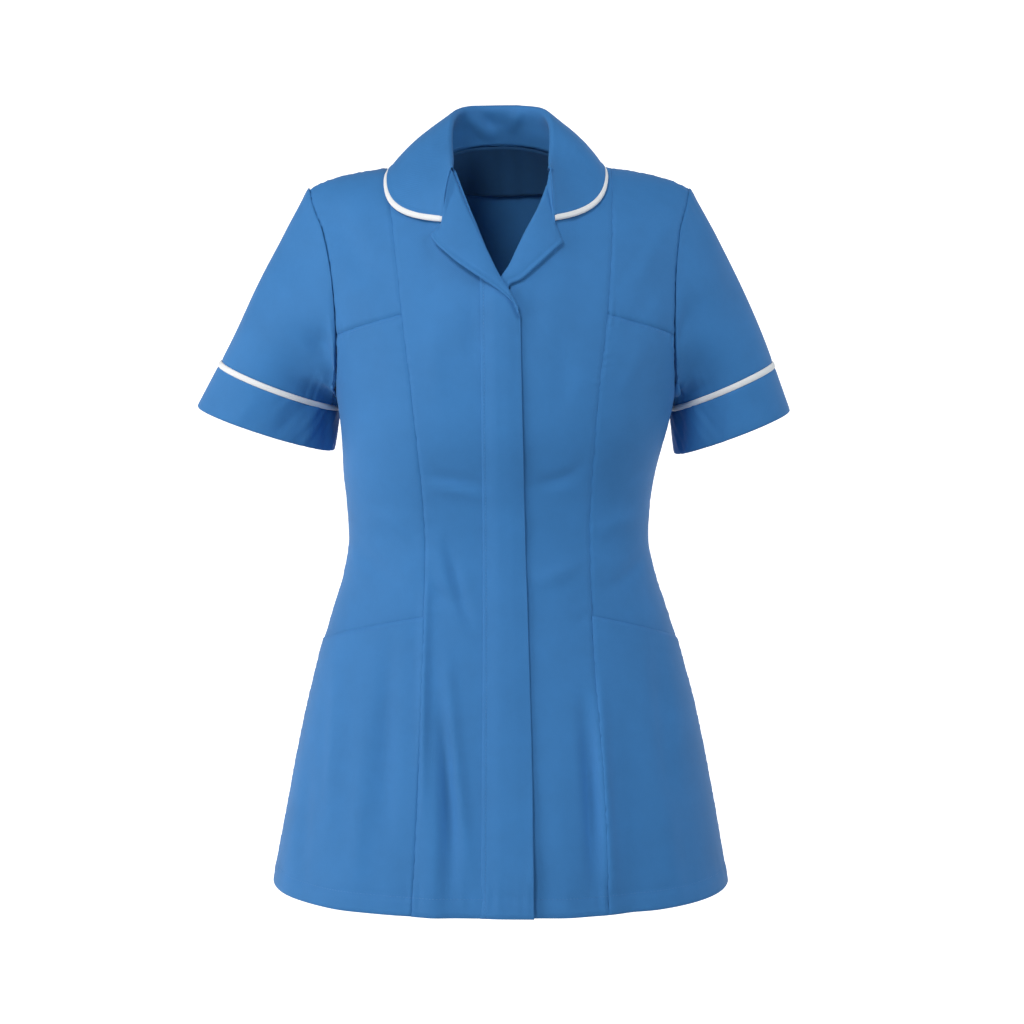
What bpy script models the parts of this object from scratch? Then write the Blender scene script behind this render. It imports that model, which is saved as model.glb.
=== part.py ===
"""Zip-front tunic: a fitted short-sleeved work tunic, filled out as it is worn.

Metres, +Z up. The front faces -Y, so the wearer's right side lies at -X.
The origin lies midway between the two neck points of the shoulder seams.
Every piece that a maker would cut is a thin wall of its own, 0.3 mm from its neighbours at the seams.
"""

import math
from functools import lru_cache

import bmesh
import bpy
import numpy as np

# Heights and wall thicknesses
ARMPIT_Z = -0.214
HEM_Z = -0.684
SHOULDER_Z = -0.009
HEM_DIP = {"front": 0.009, "back": 0.004}
CLOTH = 0.0012
HEM_CLOTH = 0.0020
FOLDED_CLOTH = 0.0016
SEAM_GAP = 0.0003
# Points this near to y = 0 lie on the shoulder and side seams, where front and back share one direction
SEAM_LINE = 0.0006
# Roundness of the body's cross-section: 2 is an ellipse
ROUNDNESS = 2.3
# How fast a fold swells from its ends, and how fast one that runs out through the hem grows downward
FOLD_SWELL = 0.8
HEM_FOLD_SWELL = 1.2
# How the front and the back lean in to the shoulder seam, above the armpit
LEAN = {"front": (1.6, 1.9), "back": (2.2, 2.2)}
OUTWARD = {"front": -1.0, "back": 1.0}
RIGHT = -1
LEFT = 1
SIDES = {"right": RIGHT, "left": LEFT}


def smooth(keys, values, where):
    """Read a value between rows on a cubic curve that never overshoots them."""
    where = np.clip(np.asarray(where, float), keys[0], keys[-1])
    step = np.diff(keys)
    slope = np.diff(values) / step
    product = slope[:-1] * slope[1:]
    total = np.where(product > 0, slope[:-1] + slope[1:], 1.0)
    tangent = np.concatenate([slope[:1], np.where(product > 0, 2 * product / total, 0.0), slope[-1:]])
    row = np.clip(np.searchsorted(keys, where, side="right") - 1, 0, len(step) - 1)
    t = (where - keys[row]) / step[row]
    start = values[row] + t * step[row] * tangent[row] * (1 - t) ** 2
    ease = t * t * (3 - 2 * t)
    end = t * t * (t - 1) * step[row] * tangent[row + 1]
    return start + ease * (values[row + 1] - values[row]) + end


class Table:
    """Rows of numbers under named columns; the first column is the one that is looked up."""

    def __init__(self, columns, rows):
        self.names = columns.split()
        self.values = {name: np.array([row[i] for row in rows], float) for i, name in enumerate(self.names)}

    def at(self, column, where):
        return smooth(self.values[self.names[0]], self.values[column], where)


# The body of the tunic below the armpits, at each height
TORSO = Table("z half_width front_depth back_depth shift", [
    (-0.700, 0.2195, 0.1480, 0.1510, 0.0000),
    (-0.657, 0.2124, 0.1440, 0.1470, -0.0004),
    (-0.611, 0.2040, 0.1380, 0.1420, 0.0000),
    (-0.564, 0.1951, 0.1300, 0.1360, 0.0000),
    (-0.518, 0.1853, 0.1210, 0.1290, 0.0000),
    (-0.472, 0.1731, 0.1110, 0.1200, -0.0005),
    (-0.426, 0.1591, 0.1010, 0.1070, -0.0009),
    (-0.391, 0.1480, 0.0965, 0.0960, -0.0014),
    (-0.357, 0.1421, 0.0945, 0.0880, -0.0022),
    (-0.323, 0.1439, 0.0980, 0.0870, -0.0023),
    (-0.300, 0.1470, 0.1040, 0.0895, -0.0018),
    (-0.277, 0.1503, 0.1108, 0.0930, 0.0005),
    (-0.258, 0.1536, 0.1155, 0.0965, 0.0026),
    (-0.238, 0.1572, 0.1180, 0.1005, 0.0041),
    (-0.214, 0.1612, 0.1185, 0.1050, 0.0046),
])
# From the armpit (0) to the shoulder seam (1); past the armhole the half width only shapes the curve
CHEST = Table("up half_width front_armhole back_armhole shift", [
    (0.00, 0.1612, 0.1612, 0.1612, 0.0046),
    (0.10, 0.1660, 0.1578, 0.1585, 0.0046),
    (0.25, 0.1740, 0.1572, 0.1585, 0.0044),
    (0.50, 0.1840, 0.1592, 0.1612, 0.0030),
    (0.75, 0.1900, 0.1662, 0.1690, 0.0006),
    (0.90, 0.1930, 0.1748, 0.1765, -0.0010),
    (1.00, 0.1950, 0.1790, 0.1790, -0.0013),
])
# Height of the shoulder line at each distance from the centre; inside the neck it is only a guide
RIDGE = Table("x height", [
    (0.000, 0.0450),
    (0.020, 0.0405),
    (0.040, 0.0260),
    (0.055, 0.0115),
    (0.068, -0.0025),
    (0.104, -0.0086),
    (0.137, -0.0140),
    (0.160, -0.0200),
    (0.182, -0.0300),
])
# Lines of the front at each height: the closing line, the panel seam out from it, the fly's two edges
FRONT = Table("z centre panel_seam fly_stitch fly_edge", [
    (-0.690, 0.0091, 0.0910, -0.0180, 0.0297),
    (-0.567, 0.0089, 0.0845, -0.0172, 0.0287),
    (-0.430, 0.0072, 0.0780, -0.0166, 0.0250),
    (-0.351, 0.0062, 0.0762, -0.0166, 0.0224),
    (-0.230, 0.0043, 0.0845, -0.0175, 0.0196),
    (-0.148, 0.0037, 0.0940, -0.0185, 0.0177),
    (-0.096, 0.0028, 0.0990, -0.0188, 0.0170),
    (-0.009, -0.0015, 0.1055, -0.0190, 0.0170),
])
BACK = Table("z panel_seam", [
    (-0.690, 0.1080),
    (-0.500, 0.0930),
    (-0.355, 0.0780),
    (-0.214, 0.0900),
    (-0.100, 0.1000),
    (-0.009, 0.1055),
])
# Top edge of each front from the closing line out: the lapel's roll line, then the neck seam
FRONT_NECK = {
    RIGHT: Table("x z", [
        (-0.0069, -0.1228),
        (0.0005, -0.1117),
        (0.0096, -0.0935),
        (0.0235, -0.0635),
        (0.0360, -0.0358),
        (0.0445, -0.0144),
        (0.0550, -0.0080),
        (0.0620, -0.0050),
        (0.0680, -0.0025),
    ]),
    LEFT: Table("x z", [
        (0.0023, -0.1090),
        (0.0087, -0.1000),
        (0.0225, -0.0716),
        (0.0363, -0.0445),
        (0.0410, -0.0358),
        (0.0445, -0.0144),
        (0.0550, -0.0080),
        (0.0620, -0.0050),
        (0.0680, -0.0025),
    ]),
}
BACK_NECK = Table("x z", [
    (0.000, 0.0154),
    (0.020, 0.0145),
    (0.040, 0.0105),
    (0.055, 0.0045),
    (0.068, -0.0025),
])
NECK_POINT_X = 0.068
# The main folds, each a soft ridge or trough from its start to its end as seen from its own side
FOLDS = {
    "front": Table("number x0 z0 x1 z1 width height", [
        (1, -0.150, -0.045, -0.088, -0.150, 0.015, -0.0032),
        (2, 0.146, -0.050, 0.100, -0.140, 0.014, -0.0022),
        (3, -0.064, -0.345, -0.024, -0.455, 0.012, 0.0022),
        (4, -0.062, -0.520, -0.062, -0.700, 0.014, 0.0040),
        (5, 0.113, -0.480, 0.122, -0.700, 0.014, -0.0045),
        (6, 0.050, -0.500, 0.062, -0.700, 0.018, 0.0032),
        (7, -0.135, -0.500, -0.150, -0.700, 0.018, 0.0030),
    ]),
    "back": Table("number x0 z0 x1 z1 width height", [
        (1, -0.060, -0.470, -0.075, -0.700, 0.020, 0.0055),
        (2, 0.054, -0.455, 0.066, -0.700, 0.019, 0.0050),
        (3, -0.128, -0.480, -0.150, -0.700, 0.018, -0.0040),
        (4, 0.120, -0.500, 0.142, -0.700, 0.020, -0.0042),
        (5, -0.070, -0.330, 0.030, -0.352, 0.014, -0.0035),
        (6, 0.085, -0.300, -0.010, -0.322, 0.012, -0.0025),
        (7, -0.140, -0.090, -0.085, -0.190, 0.018, -0.0030),
        (8, 0.142, -0.095, 0.088, -0.185, 0.017, -0.0028),
    ]),
}


def signed_power(value, power):
    return np.sign(value) * np.abs(value) ** power


def half_width(level):
    below = TORSO.at("half_width", HEM_Z + np.clip(level, 0, 1) * (ARMPIT_Z - HEM_Z))
    return np.where(np.asarray(level) > 1, CHEST.at("half_width", np.asarray(level) - 1), below)


def shift(level):
    below = TORSO.at("shift", HEM_Z + np.clip(level, 0, 1) * (ARMPIT_Z - HEM_Z))
    return np.where(np.asarray(level) > 1, CHEST.at("shift", np.asarray(level) - 1), below)


def nominal_z(level):
    """The height that a level has on the middle of a shoulder: 0 is the hem, 1 the armpit, 2 the shoulder."""
    level = np.asarray(level, float)
    above = ARMPIT_Z + (level - 1) * (SHOULDER_Z - ARMPIT_Z)
    return np.where(level > 1, above, HEM_Z + level * (ARMPIT_Z - HEM_Z))


def depth(face, level):
    below = TORSO.at(face + "_depth", HEM_Z + np.clip(level, 0, 1) * (ARMPIT_Z - HEM_Z))
    up = np.clip(np.asarray(level) - 1, 0, 1)
    rise, fall = LEAN[face]
    return below * (1 - up ** rise) ** (1 / fall)


def fold_height(face, x, z):
    """How far the folds move the cloth out of its plain form."""
    table = FOLDS[face].values
    height = np.zeros(np.shape(x))
    for x0, z0, x1, z1, width, rise in zip(*(table[name] for name in FOLDS[face].names[1:])):
        length = math.hypot(x1 - x0, z1 - z0)
        along_x, along_z = (x1 - x0) / length, (z1 - z0) / length
        along = ((x - x0) * along_x + (z - z0) * along_z) / length
        across = ((x - x0) * along_z - (z - z0) * along_x) / width
        inside = np.clip(along, 0, 1)
        body = np.sin(np.pi * inside ** FOLD_SWELL) ** FOLD_SWELL
        if z1 < HEM_Z:
            body = np.sin(0.5 * np.pi * inside) ** HEM_FOLD_SWELL
        height = height + rise * body * np.exp(-across ** 2) * (along > 0) * (along < 1)
    return height


def torso(face, side, angle, level):
    """A point of the outer face: angle 0 is the body's middle, a quarter turn is the side seam."""
    angle, level = np.broadcast_arrays(np.asarray(angle, float), np.asarray(level, float))
    across = signed_power(np.sin(angle), 2 / ROUNDNESS)
    forward = np.abs(np.cos(angle)) ** (2 / ROUNDNESS)
    reach = half_width(level) * across
    up = np.clip(level - 1, 0, 1)
    low_z = nominal_z(np.minimum(level, 1)) - HEM_DIP[face] * forward * (1 - np.minimum(level, 1))
    z = np.where(level > 1, ARMPIT_Z + up * (RIDGE.at("height", np.abs(reach)) - ARMPIT_Z), low_z)
    x = side * reach + shift(level)
    bulge = fold_height(face, x, z)
    y = OUTWARD[face] * (depth(face, level) + bulge) * forward
    x = x + side * bulge * across * (1 - forward)
    return np.stack([x, y, z], axis=-1)


def angle_of(side, x, level):
    ratio = side * (x - shift(level)) / half_width(level)
    return np.arcsin(signed_power(np.clip(ratio, -1, 1), ROUNDNESS / 2))


# Where the search for a level starts, and how often it is corrected
FIRST_LEVEL = 1.8
LEVEL_ROUNDS = 4


def level_of(side, x, z):
    """The level at a height above the armpit, for a point at x."""
    level = np.full(np.broadcast(x, z).shape, FIRST_LEVEL)
    for _ in range(LEVEL_ROUNDS):
        ridge = RIDGE.at("height", np.abs(x - shift(level)))
        level = 1 + np.clip((z - ARMPIT_Z) / (ridge - ARMPIT_Z), 0, 1)
    return level


def torso_at(face, side, x, z):
    """The outer face above the armpit, found from the front: x and z give the depth."""
    level = level_of(side, x, z)
    return torso(face, side, angle_of(side, x, level), level)


def armhole_angle(face, up):
    """Angle of the armhole seam: up is 0 under the arm and 1 at the shoulder's tip."""
    reach = CHEST.at(face + "_armhole", np.clip(up, 0, 1))
    ratio = np.clip(reach / half_width(1 + np.clip(up, 0, 1)), 0, 1)
    return np.where(up <= 0, math.pi / 2, np.arcsin(ratio ** (ROUNDNESS / 2)))


def armhole(face, side, up):
    return torso(face, side, armhole_angle(face, up), 1 + up)


def normals(grid, closed=False):
    """Unit normals of a grid of points, whose rows run up and whose columns run across."""
    if closed:
        across = np.roll(grid, -1, axis=1) - np.roll(grid, 1, axis=1)
    else:
        across = np.gradient(grid, axis=1)
    upward = np.gradient(grid, axis=0)
    normal = np.cross(across, upward)
    on_seam = np.abs(grid[:, :, 1]) < SEAM_LINE
    normal[:, :, 1] = np.where(on_seam & (not closed), 0.0, normal[:, :, 1])
    return normal / np.maximum(np.linalg.norm(normal, axis=2, keepdims=True), 1e-12)


def lifted(grid, amount, turn=1, closed=False):
    amount = np.asarray(amount, float)
    if amount.ndim == 1:
        amount = amount[:, None]
    if amount.ndim == 2:
        amount = amount[:, :, None]
    return grid + turn * normals(grid, closed) * amount


def trimmed(grid, edges, gap=SEAM_GAP / 2):
    """Draw the named edges of a grid in by half a seam's gap."""
    grid = grid.copy()
    neighbours = {"left": (np.s_[:, 0], np.s_[:, 1]), "right": (np.s_[:, -1], np.s_[:, -2]),
                  "bottom": (np.s_[0], np.s_[1]), "top": (np.s_[-1], np.s_[-2])}
    for edge in edges:
        border, inner = neighbours[edge]
        inward = grid[inner] - grid[border]
        grid[border] += gap * inward / np.maximum(np.linalg.norm(inward, axis=-1, keepdims=True), 1e-12)
    return grid


# Edges sharper than this keep a crease in the shading
SHARP_EDGE = math.radians(50)


def principled(name, colour, roughness, metallic=0.0):
    """A plain material; the colour is given as its three sRGB bytes."""
    material = bpy.data.materials.new(name)
    material.use_nodes = True
    shader = material.node_tree.nodes["Principled BSDF"]
    linear = [((c / 255 + 0.055) / 1.055) ** 2.4 for c in colour]
    shader.inputs["Base Color"].default_value = (*linear, 1.0)
    shader.inputs["Roughness"].default_value = roughness
    shader.inputs["Metallic"].default_value = metallic
    return material


def solid(name, outer, inner, material, closed=False):
    """Join an outer and an inner grid of points into one closed wall."""
    rows, columns = outer.shape[:2]
    count = rows * columns
    vertices = np.concatenate([outer.reshape(-1, 3), inner.reshape(-1, 3)])
    faces = []
    last = columns if closed else columns - 1
    for i in range(rows - 1):
        for j in range(last):
            k = (j + 1) % columns
            a, b = i * columns + j, i * columns + k
            c, d = (i + 1) * columns + k, (i + 1) * columns + j
            faces.append((a, b, c, d))
            faces.append((a + count, d + count, c + count, b + count))
    for j in range(last):
        k = (j + 1) % columns
        faces.append((j, j + count, k + count, k))
        a, b = (rows - 1) * columns + j, (rows - 1) * columns + k
        faces.append((a, b, b + count, a + count))
    if not closed:
        for i in range(rows - 1):
            a, d = i * columns, (i + 1) * columns
            faces.append((a, d, d + count, a + count))
            b, c = a + columns - 1, d + columns - 1
            faces.append((b, b + count, c + count, c))
    return add_object(name, vertices, faces, material)


def add_object(name, vertices, faces, material):
    mesh = bpy.data.meshes.new(name)
    mesh.from_pydata([tuple(v) for v in vertices], [], faces)
    mesh.update()
    if signed_volume(mesh) < 0:
        mesh.flip_normals()
    mesh.shade_smooth()
    mesh.set_sharp_from_angle(angle=SHARP_EDGE)
    mesh.materials.append(material)
    thing = bpy.data.objects.new(name, mesh)
    bpy.context.scene.collection.objects.link(thing)
    return thing


def signed_volume(mesh):
    mesh.calc_loop_triangles()
    total = 0.0
    for triangle in mesh.loop_triangles:
        a, b, c = (mesh.vertices[i].co for i in triangle.vertices)
        total += a.dot(b.cross(c)) / 6
    return total


def wall(name, grid, thickness, material, side=1, closed=False):
    """A wall whose outer face is the grid; side says which way the grid's normals point."""
    return solid(name, grid, lifted(grid, -np.asarray(thickness), side, closed), material, closed)


# Levels of the rows, shared by all that lies on the front
LOW_LEVELS = np.array([0.0, 0.036, 0.12, 0.22, 0.32, 0.42, 0.50, 0.562, 0.63, 0.695, 0.76, 0.82, 0.88, 0.94,
                       1.0, 1.08, 1.17])
HEM_ROWS = 2


def row_thickness(rows, hem_rows=HEM_ROWS):
    """The hem is turned up, so its lowest rows are thicker."""
    return np.where(np.arange(rows) < hem_rows, HEM_CLOTH, CLOTH)


def front_line(column, level):
    return FRONT.at(column, nominal_z(level))


def panel_seam_x(face, side, level):
    if face == "back":
        return side * BACK.at("panel_seam", nominal_z(level))
    return front_line("centre", level) + side * front_line("panel_seam", level)


CLOSING_GAP = 0.0050


def closing_x(side, level):
    return front_line("centre", level) + side * CLOSING_GAP


# The top edge is found from a first height and corrected; levels are read in the middle of the shoulder
FIRST_TOP_Z = -0.05
TOP_ROUNDS = 12
SHOULDER_X = 0.1


def front_top(side, share):
    """Level of a front's top edge at a share of the way from its closing edge to its panel seam."""
    z = np.full(np.shape(share), FIRST_TOP_Z)
    for _ in range(TOP_ROUNDS):
        level = level_of(side, np.full(z.shape, SHOULDER_X), z)
        x = closing_x(side, level) + share * (panel_seam_x("front", side, level) - closing_x(side, level))
        reach = side * x
        z = np.where(reach < NECK_POINT_X, FRONT_NECK[side].at("z", reach), RIDGE.at("height", reach))
    return level_of(side, x, z)


CROWDING = 1.7


def crowded(count):
    """Shares from 0 to 1 that crowd together towards 1, where the cloth turns over the shoulder."""
    return 1 - (1 - np.linspace(0, 1, count)) ** CROWDING


# The pocket's top edge and the seam under the bust, as levels at the panel seam and at the side
POCKET_TOP = (0.562, 0.487)
BUST_SEAM = (1.335, 1.250)
SHOULDER_ROWS = 9
HIGH_LEVELS = BUST_SEAM[0] + crowded(SHOULDER_ROWS) * (2 - BUST_SEAM[0])
# Places of the columns along the front's top edge: the roll line, the neck seam and the shoulder
FRONT_COLUMNS_X = (0.0, 0.014, 0.024, 0.034, 0.0445, 0.050, 0.056, 0.061, 0.065, 0.068, 0.081, 0.093, 0.1055)
BACK_COLUMNS_X = (0.0, 0.0135, 0.027, 0.040, 0.048, 0.055, 0.061, 0.065, 0.068, 0.081, 0.093, 0.1055)
BACK_SHARES = np.array([-x for x in BACK_COLUMNS_X[:0:-1]] + list(BACK_COLUMNS_X)) / BACK_COLUMNS_X[-1]


def front_shares(side):
    """Shares across a front that put its columns at their places along the top edge."""
    start, end = side * closing_x(side, 2), side * panel_seam_x("front", side, 2)
    shares = (np.array(FRONT_COLUMNS_X) - start) / (end - start)
    shares[0], shares[-1] = 0, 1
    return shares


def front_centre_grid(side, shares):
    top = front_top(side, shares)
    start = LOW_LEVELS[-1]
    rise = (HIGH_LEVELS - start) / (2 - start)
    high = rise[:, None] * (top - start)[None, :] + start
    levels = np.concatenate([np.repeat(LOW_LEVELS[:, None], len(shares), axis=1), high])
    edge = closing_x(side, levels)
    x = edge + shares[None, :] * (panel_seam_x("front", side, levels) - edge)
    return torso("front", side, angle_of(side, x, levels), levels)


POCKET_ROWS = LOW_LEVELS[:8] / POCKET_TOP[0]
# How far the pocket stands out at shares of its height, and how the front steps back behind its top
POCKET_LIFT_AT = (0.0, 0.70, 1.0)
POCKET_LIFTS = (0.0001, 0.0002, 0.0018)
POCKET_SET_BACK = 0.0016
SET_BACK_SHARE = 0.3
SIDE_COLUMNS = 8


def side_grid(face, side, levels, shares):
    """A side panel: levels has a row for each row and a column for each share across."""
    start = angle_of(side, panel_seam_x(face, side, levels), levels)
    end = np.where(levels > 1, armhole_angle(face, levels - 1), math.pi / 2)
    angle = start + shares[None, :] * (end - start)
    return torso(face, side, angle, levels)


def slanted(ends, shares):
    return ends[0] + shares * (ends[1] - ends[0])


def front_side_lower_grid(side, shares):
    pocket_top = slanted(POCKET_TOP, shares)
    bust = slanted(BUST_SEAM, shares)
    low = POCKET_ROWS[:, None] * pocket_top[None, :]
    high_levels = np.append(LOW_LEVELS[len(POCKET_ROWS):], BUST_SEAM[0])
    high_share = (high_levels[:, None] - POCKET_TOP[0]) / (BUST_SEAM[0] - POCKET_TOP[0])
    high = pocket_top[None, :] + high_share * (bust - pocket_top)[None, :]
    return side_grid("front", side, np.concatenate([low, high]), shares)


def pocket_grid(side, shares):
    return side_grid("front", side, POCKET_ROWS[:, None] * slanted(POCKET_TOP, shares)[None, :], shares)


def pocket_lift():
    """How far the pocket stands out at each row: proud at its top edge, flush further down."""
    return np.interp(POCKET_ROWS, POCKET_LIFT_AT, POCKET_LIFTS)


def front_side_upper_grid(side, shares):
    bust = slanted(BUST_SEAM, shares)
    levels = bust[None, :] + crowded(SHOULDER_ROWS)[:, None] * (2 - bust)[None, :]
    return side_grid("front", side, levels, shares)


BACK_LEVELS = np.array([0.0, 0.036, 0.13, 0.24, 0.35, 0.46, 0.56, 0.65, 0.73, 0.81, 0.90, 1.0, 1.14, 1.30])
BACK_HIGH_ROWS = 8


def back_side_grid(side, shares):
    high = BACK_LEVELS[-1] + crowded(BACK_HIGH_ROWS)[1:] * (2 - BACK_LEVELS[-1])
    levels = np.concatenate([BACK_LEVELS, high])[:, None] * np.ones(len(shares))[None, :]
    return side_grid("back", side, levels, shares)


def back_top(share):
    x = np.abs(share) * BACK.at("panel_seam", SHOULDER_Z)
    z = np.where(x < NECK_POINT_X, BACK_NECK.at("z", x), RIDGE.at("height", x))
    return level_of(LEFT, x, z)


def back_centre_grid(shares=BACK_SHARES):
    top = back_top(shares)
    high = BACK_LEVELS[-1] + crowded(BACK_HIGH_ROWS)[1:, None] * (top - BACK_LEVELS[-1])[None, :]
    levels = np.concatenate([np.repeat(BACK_LEVELS[:, None], len(shares), axis=1), high])
    x = shares[None, :] * BACK.at("panel_seam", nominal_z(levels))
    return torso("back", LEFT, angle_of(LEFT, x, levels), levels)


def fronts(cloth):
    for name, side in SIDES.items():
        grid = trimmed(front_centre_grid(side, front_shares(side)), ("right", "top"))
        wall("front_centre_" + name, grid, row_thickness(len(grid)), cloth, side)

        shares = np.linspace(0, 1, SIDE_COLUMNS)
        lower = trimmed(front_side_lower_grid(side, shares), ("left", "right", "top"))
        set_back = np.zeros(len(lower))
        set_back[:len(POCKET_ROWS)] = POCKET_SET_BACK * np.clip((1 - POCKET_ROWS) / SET_BACK_SHARE, 0, 1)
        wall("front_side_lower_" + name, lifted(lower, -set_back, side), CLOTH, cloth, side)

        upper = trimmed(front_side_upper_grid(side, shares), ("left", "right", "bottom", "top"))
        wall("front_side_upper_" + name, upper, CLOTH, cloth, side)

        pocket = trimmed(lifted(pocket_grid(side, shares), pocket_lift(), side), ("left", "right"))
        wall("pocket_" + name, pocket, CLOTH, cloth, side)


def backs(cloth):
    centre = trimmed(back_centre_grid(), ("left", "right", "top"))
    wall("back_centre", centre, row_thickness(len(centre)), cloth, -1)
    for name, side in SIDES.items():
        grid = trimmed(back_side_grid(side, np.linspace(0, 1, SIDE_COLUMNS)), ("left", "right", "top"))
        wall("back_side_" + name, grid, row_thickness(len(grid)), cloth, -side)


# Sleeve rings: the corners of the sleeve's end and of the cuff's hem, and each ring's half depth
SLEEVE_END = {
    RIGHT: {"outer": (-0.2655, 0.012, -0.1905), "inner": (-0.1538, 0.035, -0.2335), "half_depth": 0.052},
    LEFT: {"outer": (0.2580, 0.012, -0.1915), "inner": (0.1612, 0.035, -0.2345), "half_depth": 0.055},
}
CUFF_HEM = {
    RIGHT: {"outer": (-0.2890, 0.018, -0.2335), "inner": (-0.1593, 0.030, -0.2757), "half_depth": 0.047},
    LEFT: {"outer": (0.2752, 0.018, -0.2380), "inner": (0.1660, 0.030, -0.2795), "half_depth": 0.052},
}
# How far the front of the rings hangs lower on each side
RING_DROP = {RIGHT: 0.004, LEFT: 0.002}
HALF_RING = 14
SLEEVE_ROWS = 9
CUFF_ROWS = 4
# The sleeve leaves its seam outward and up by these, under the arm and at the shoulder's tip
LEAVES_UNDER_ARM = (0.18, -0.98)
LEAVES_AT_TIP = (0.52, -0.86)
LEAVES_AHEAD = 0.10
ARMHOLE_GAP = 0.0008
# Distance from the sleeve's end to the cuff's hem
CUFF_REACH = 0.0465
PIPING_WIDTH = 0.0050
PIPING_LIFT = 0.0006
CUFF_LIFT = 0.0003


def sleeve_ring_angles():
    return np.arange(2 * HALF_RING) * math.pi / HALF_RING


def end_ring(corners, side):
    """An oval ring between its two corners; angle 0 is the outer corner and it passes the front first."""
    outer, inner = np.array(corners["outer"]), np.array(corners["inner"])
    centre, arm = (outer + inner) / 2, (outer - inner) / 2
    forward = np.array([0.0, -corners["half_depth"], -RING_DROP[side]])
    angle = sleeve_ring_angles()[:, None]
    return centre + np.cos(angle) * arm + np.sin(angle) * forward


def armhole_ring(side):
    """The armhole seam as a closed ring, from the shoulder's tip down the front and up the back."""
    up = (1 + np.cos(np.arange(HALF_RING + 1) * math.pi / HALF_RING)) / 2
    front = armhole("front", side, up)
    back = armhole("back", side, up[::-1])
    return np.concatenate([front, back[1:-1]])


def sleeve_grid(side):
    """Rows of rings from the armhole to the sleeve's end, on curves that leave the seam outward."""
    start = armhole_ring(side)
    end = end_ring(SLEEVE_END[side], side)
    hem = end_ring(CUFF_HEM[side], side)
    angle = sleeve_ring_angles()
    top = (1 + np.cos(angle)) / 2
    ahead = np.sin(angle)
    reach = np.linalg.norm(end - start, axis=1)
    outward, upward = (low + (high - low) * top for low, high in zip(LEAVES_UNDER_ARM, LEAVES_AT_TIP))
    leave = np.stack([side * outward, -LEAVES_AHEAD * ahead, upward], axis=1)
    leave = leave / np.linalg.norm(leave, axis=1, keepdims=True)
    arrive = (hem - end) / np.linalg.norm(hem - end, axis=1, keepdims=True)
    start = start + np.array([side * ARMHOLE_GAP, 0, 0]) + leave * SEAM_GAP
    t = np.linspace(0, 1, SLEEVE_ROWS)[:, None, None]
    pull = reach[None, :, None]
    return ((2 * t ** 3 - 3 * t ** 2 + 1) * start + (t ** 3 - 2 * t ** 2 + t) * pull * leave
            + (3 * t ** 2 - 2 * t ** 3) * end + (t ** 3 - t ** 2) * pull * arrive)


def cuff_ring(side, distance):
    """The ring at a distance past the sleeve's end, towards the cuff's hem."""
    end = end_ring(SLEEVE_END[side], side)
    hem = end_ring(CUFF_HEM[side], side)
    return end + (hem - end) * distance / CUFF_REACH


def sleeves(cloth, white):
    for name, side in SIDES.items():
        wall("sleeve_" + name, sleeve_grid(side), CLOTH, cloth, side, closed=True)
        piping = np.stack([cuff_ring(side, d) for d in (SEAM_GAP, SEAM_GAP + PIPING_WIDTH)])
        piping = lifted(piping, PIPING_LIFT, side, closed=True)
        wall("cuff_piping_" + name, piping, HEM_CLOTH, white, side, closed=True)
        start = PIPING_WIDTH + 2 * SEAM_GAP
        cuff = np.stack([cuff_ring(side, d) for d in np.linspace(start, CUFF_REACH, CUFF_ROWS)])
        cuff = lifted(cuff, CUFF_LIFT, side, closed=True)
        wall("cuff_" + name, cuff, HEM_CLOTH, cloth, side, closed=True)


# Collar stations from the middle of the back to the collar's front end, on the wearer's right.
# The seam is found from its x, the roll line is a point, and the outer edge is found from x and z.
COLLAR = Table("station seam_x roll_x roll_y roll_z edge_x edge_z edge_x_left edge_z_left", [
    (0, 0.0000, 0.0000, 0.0500, 0.0515, 0.0000, -0.0060, 0.0000, -0.0060),
    (1, 0.0200, 0.0180, 0.0475, 0.0512, 0.0300, -0.0075, 0.0300, -0.0075),
    (2, 0.0400, 0.0330, 0.0380, 0.0500, 0.0600, -0.0090, 0.0580, -0.0090),
    (3, 0.0550, 0.0425, 0.0235, 0.0475, 0.0880, -0.0100, 0.0840, -0.0100),
    (4, 0.0680, 0.0465, 0.0080, 0.0410, 0.1060, -0.0089, 0.0985, -0.0078),
    (5, 0.0675, 0.0478, -0.0020, 0.0340, 0.1085, -0.0205, 0.1000, -0.0180),
    (6, 0.0660, 0.0482, -0.0120, 0.0245, 0.1085, -0.0317, 0.0990, -0.0290),
    (7, 0.0630, 0.0480, -0.0220, 0.0150, 0.1042, -0.0445, 0.0945, -0.0415),
    (8, 0.0585, 0.0470, -0.0330, 0.0050, 0.0927, -0.0544, 0.0824, -0.0516),
    (9, 0.0520, 0.0458, -0.0465, -0.0045, 0.0735, -0.0598, 0.0645, -0.0580),
    (10, 0.0480, 0.0452, -0.0588, -0.0104, 0.0520, -0.0612, 0.0480, -0.0602),
])
BACK_STATIONS = 4
FRONT_END_STATION = 10
COLLAR_CLOTH = 0.0015
COLLAR_LIFT = 0.0030
COLLAR_SEAM_GAP = 0.0017
# The roll's radius, the share of the stand's height that it may take, and how far its sides drop, in radii
ROLL_RADIUS = 0.0022
ROLL_SHARE = 0.3
ROLL_SIDE = 0.6
STAND_BOW = 0.0006
LEAF_BULGE = 0.0035
LEAF_BULGE_OUT = 0.3
SMALL_ANGLE = 1e-3
STAND_POINTS = 4
COLLAR_STATIONS = 21
LEAF_SHARES = (0.0, 0.22, 0.48, 0.74)
# The piping stands out further than it stands in
PIPING_OUT = 0.0011
PIPING_IN = 0.0009


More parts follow.
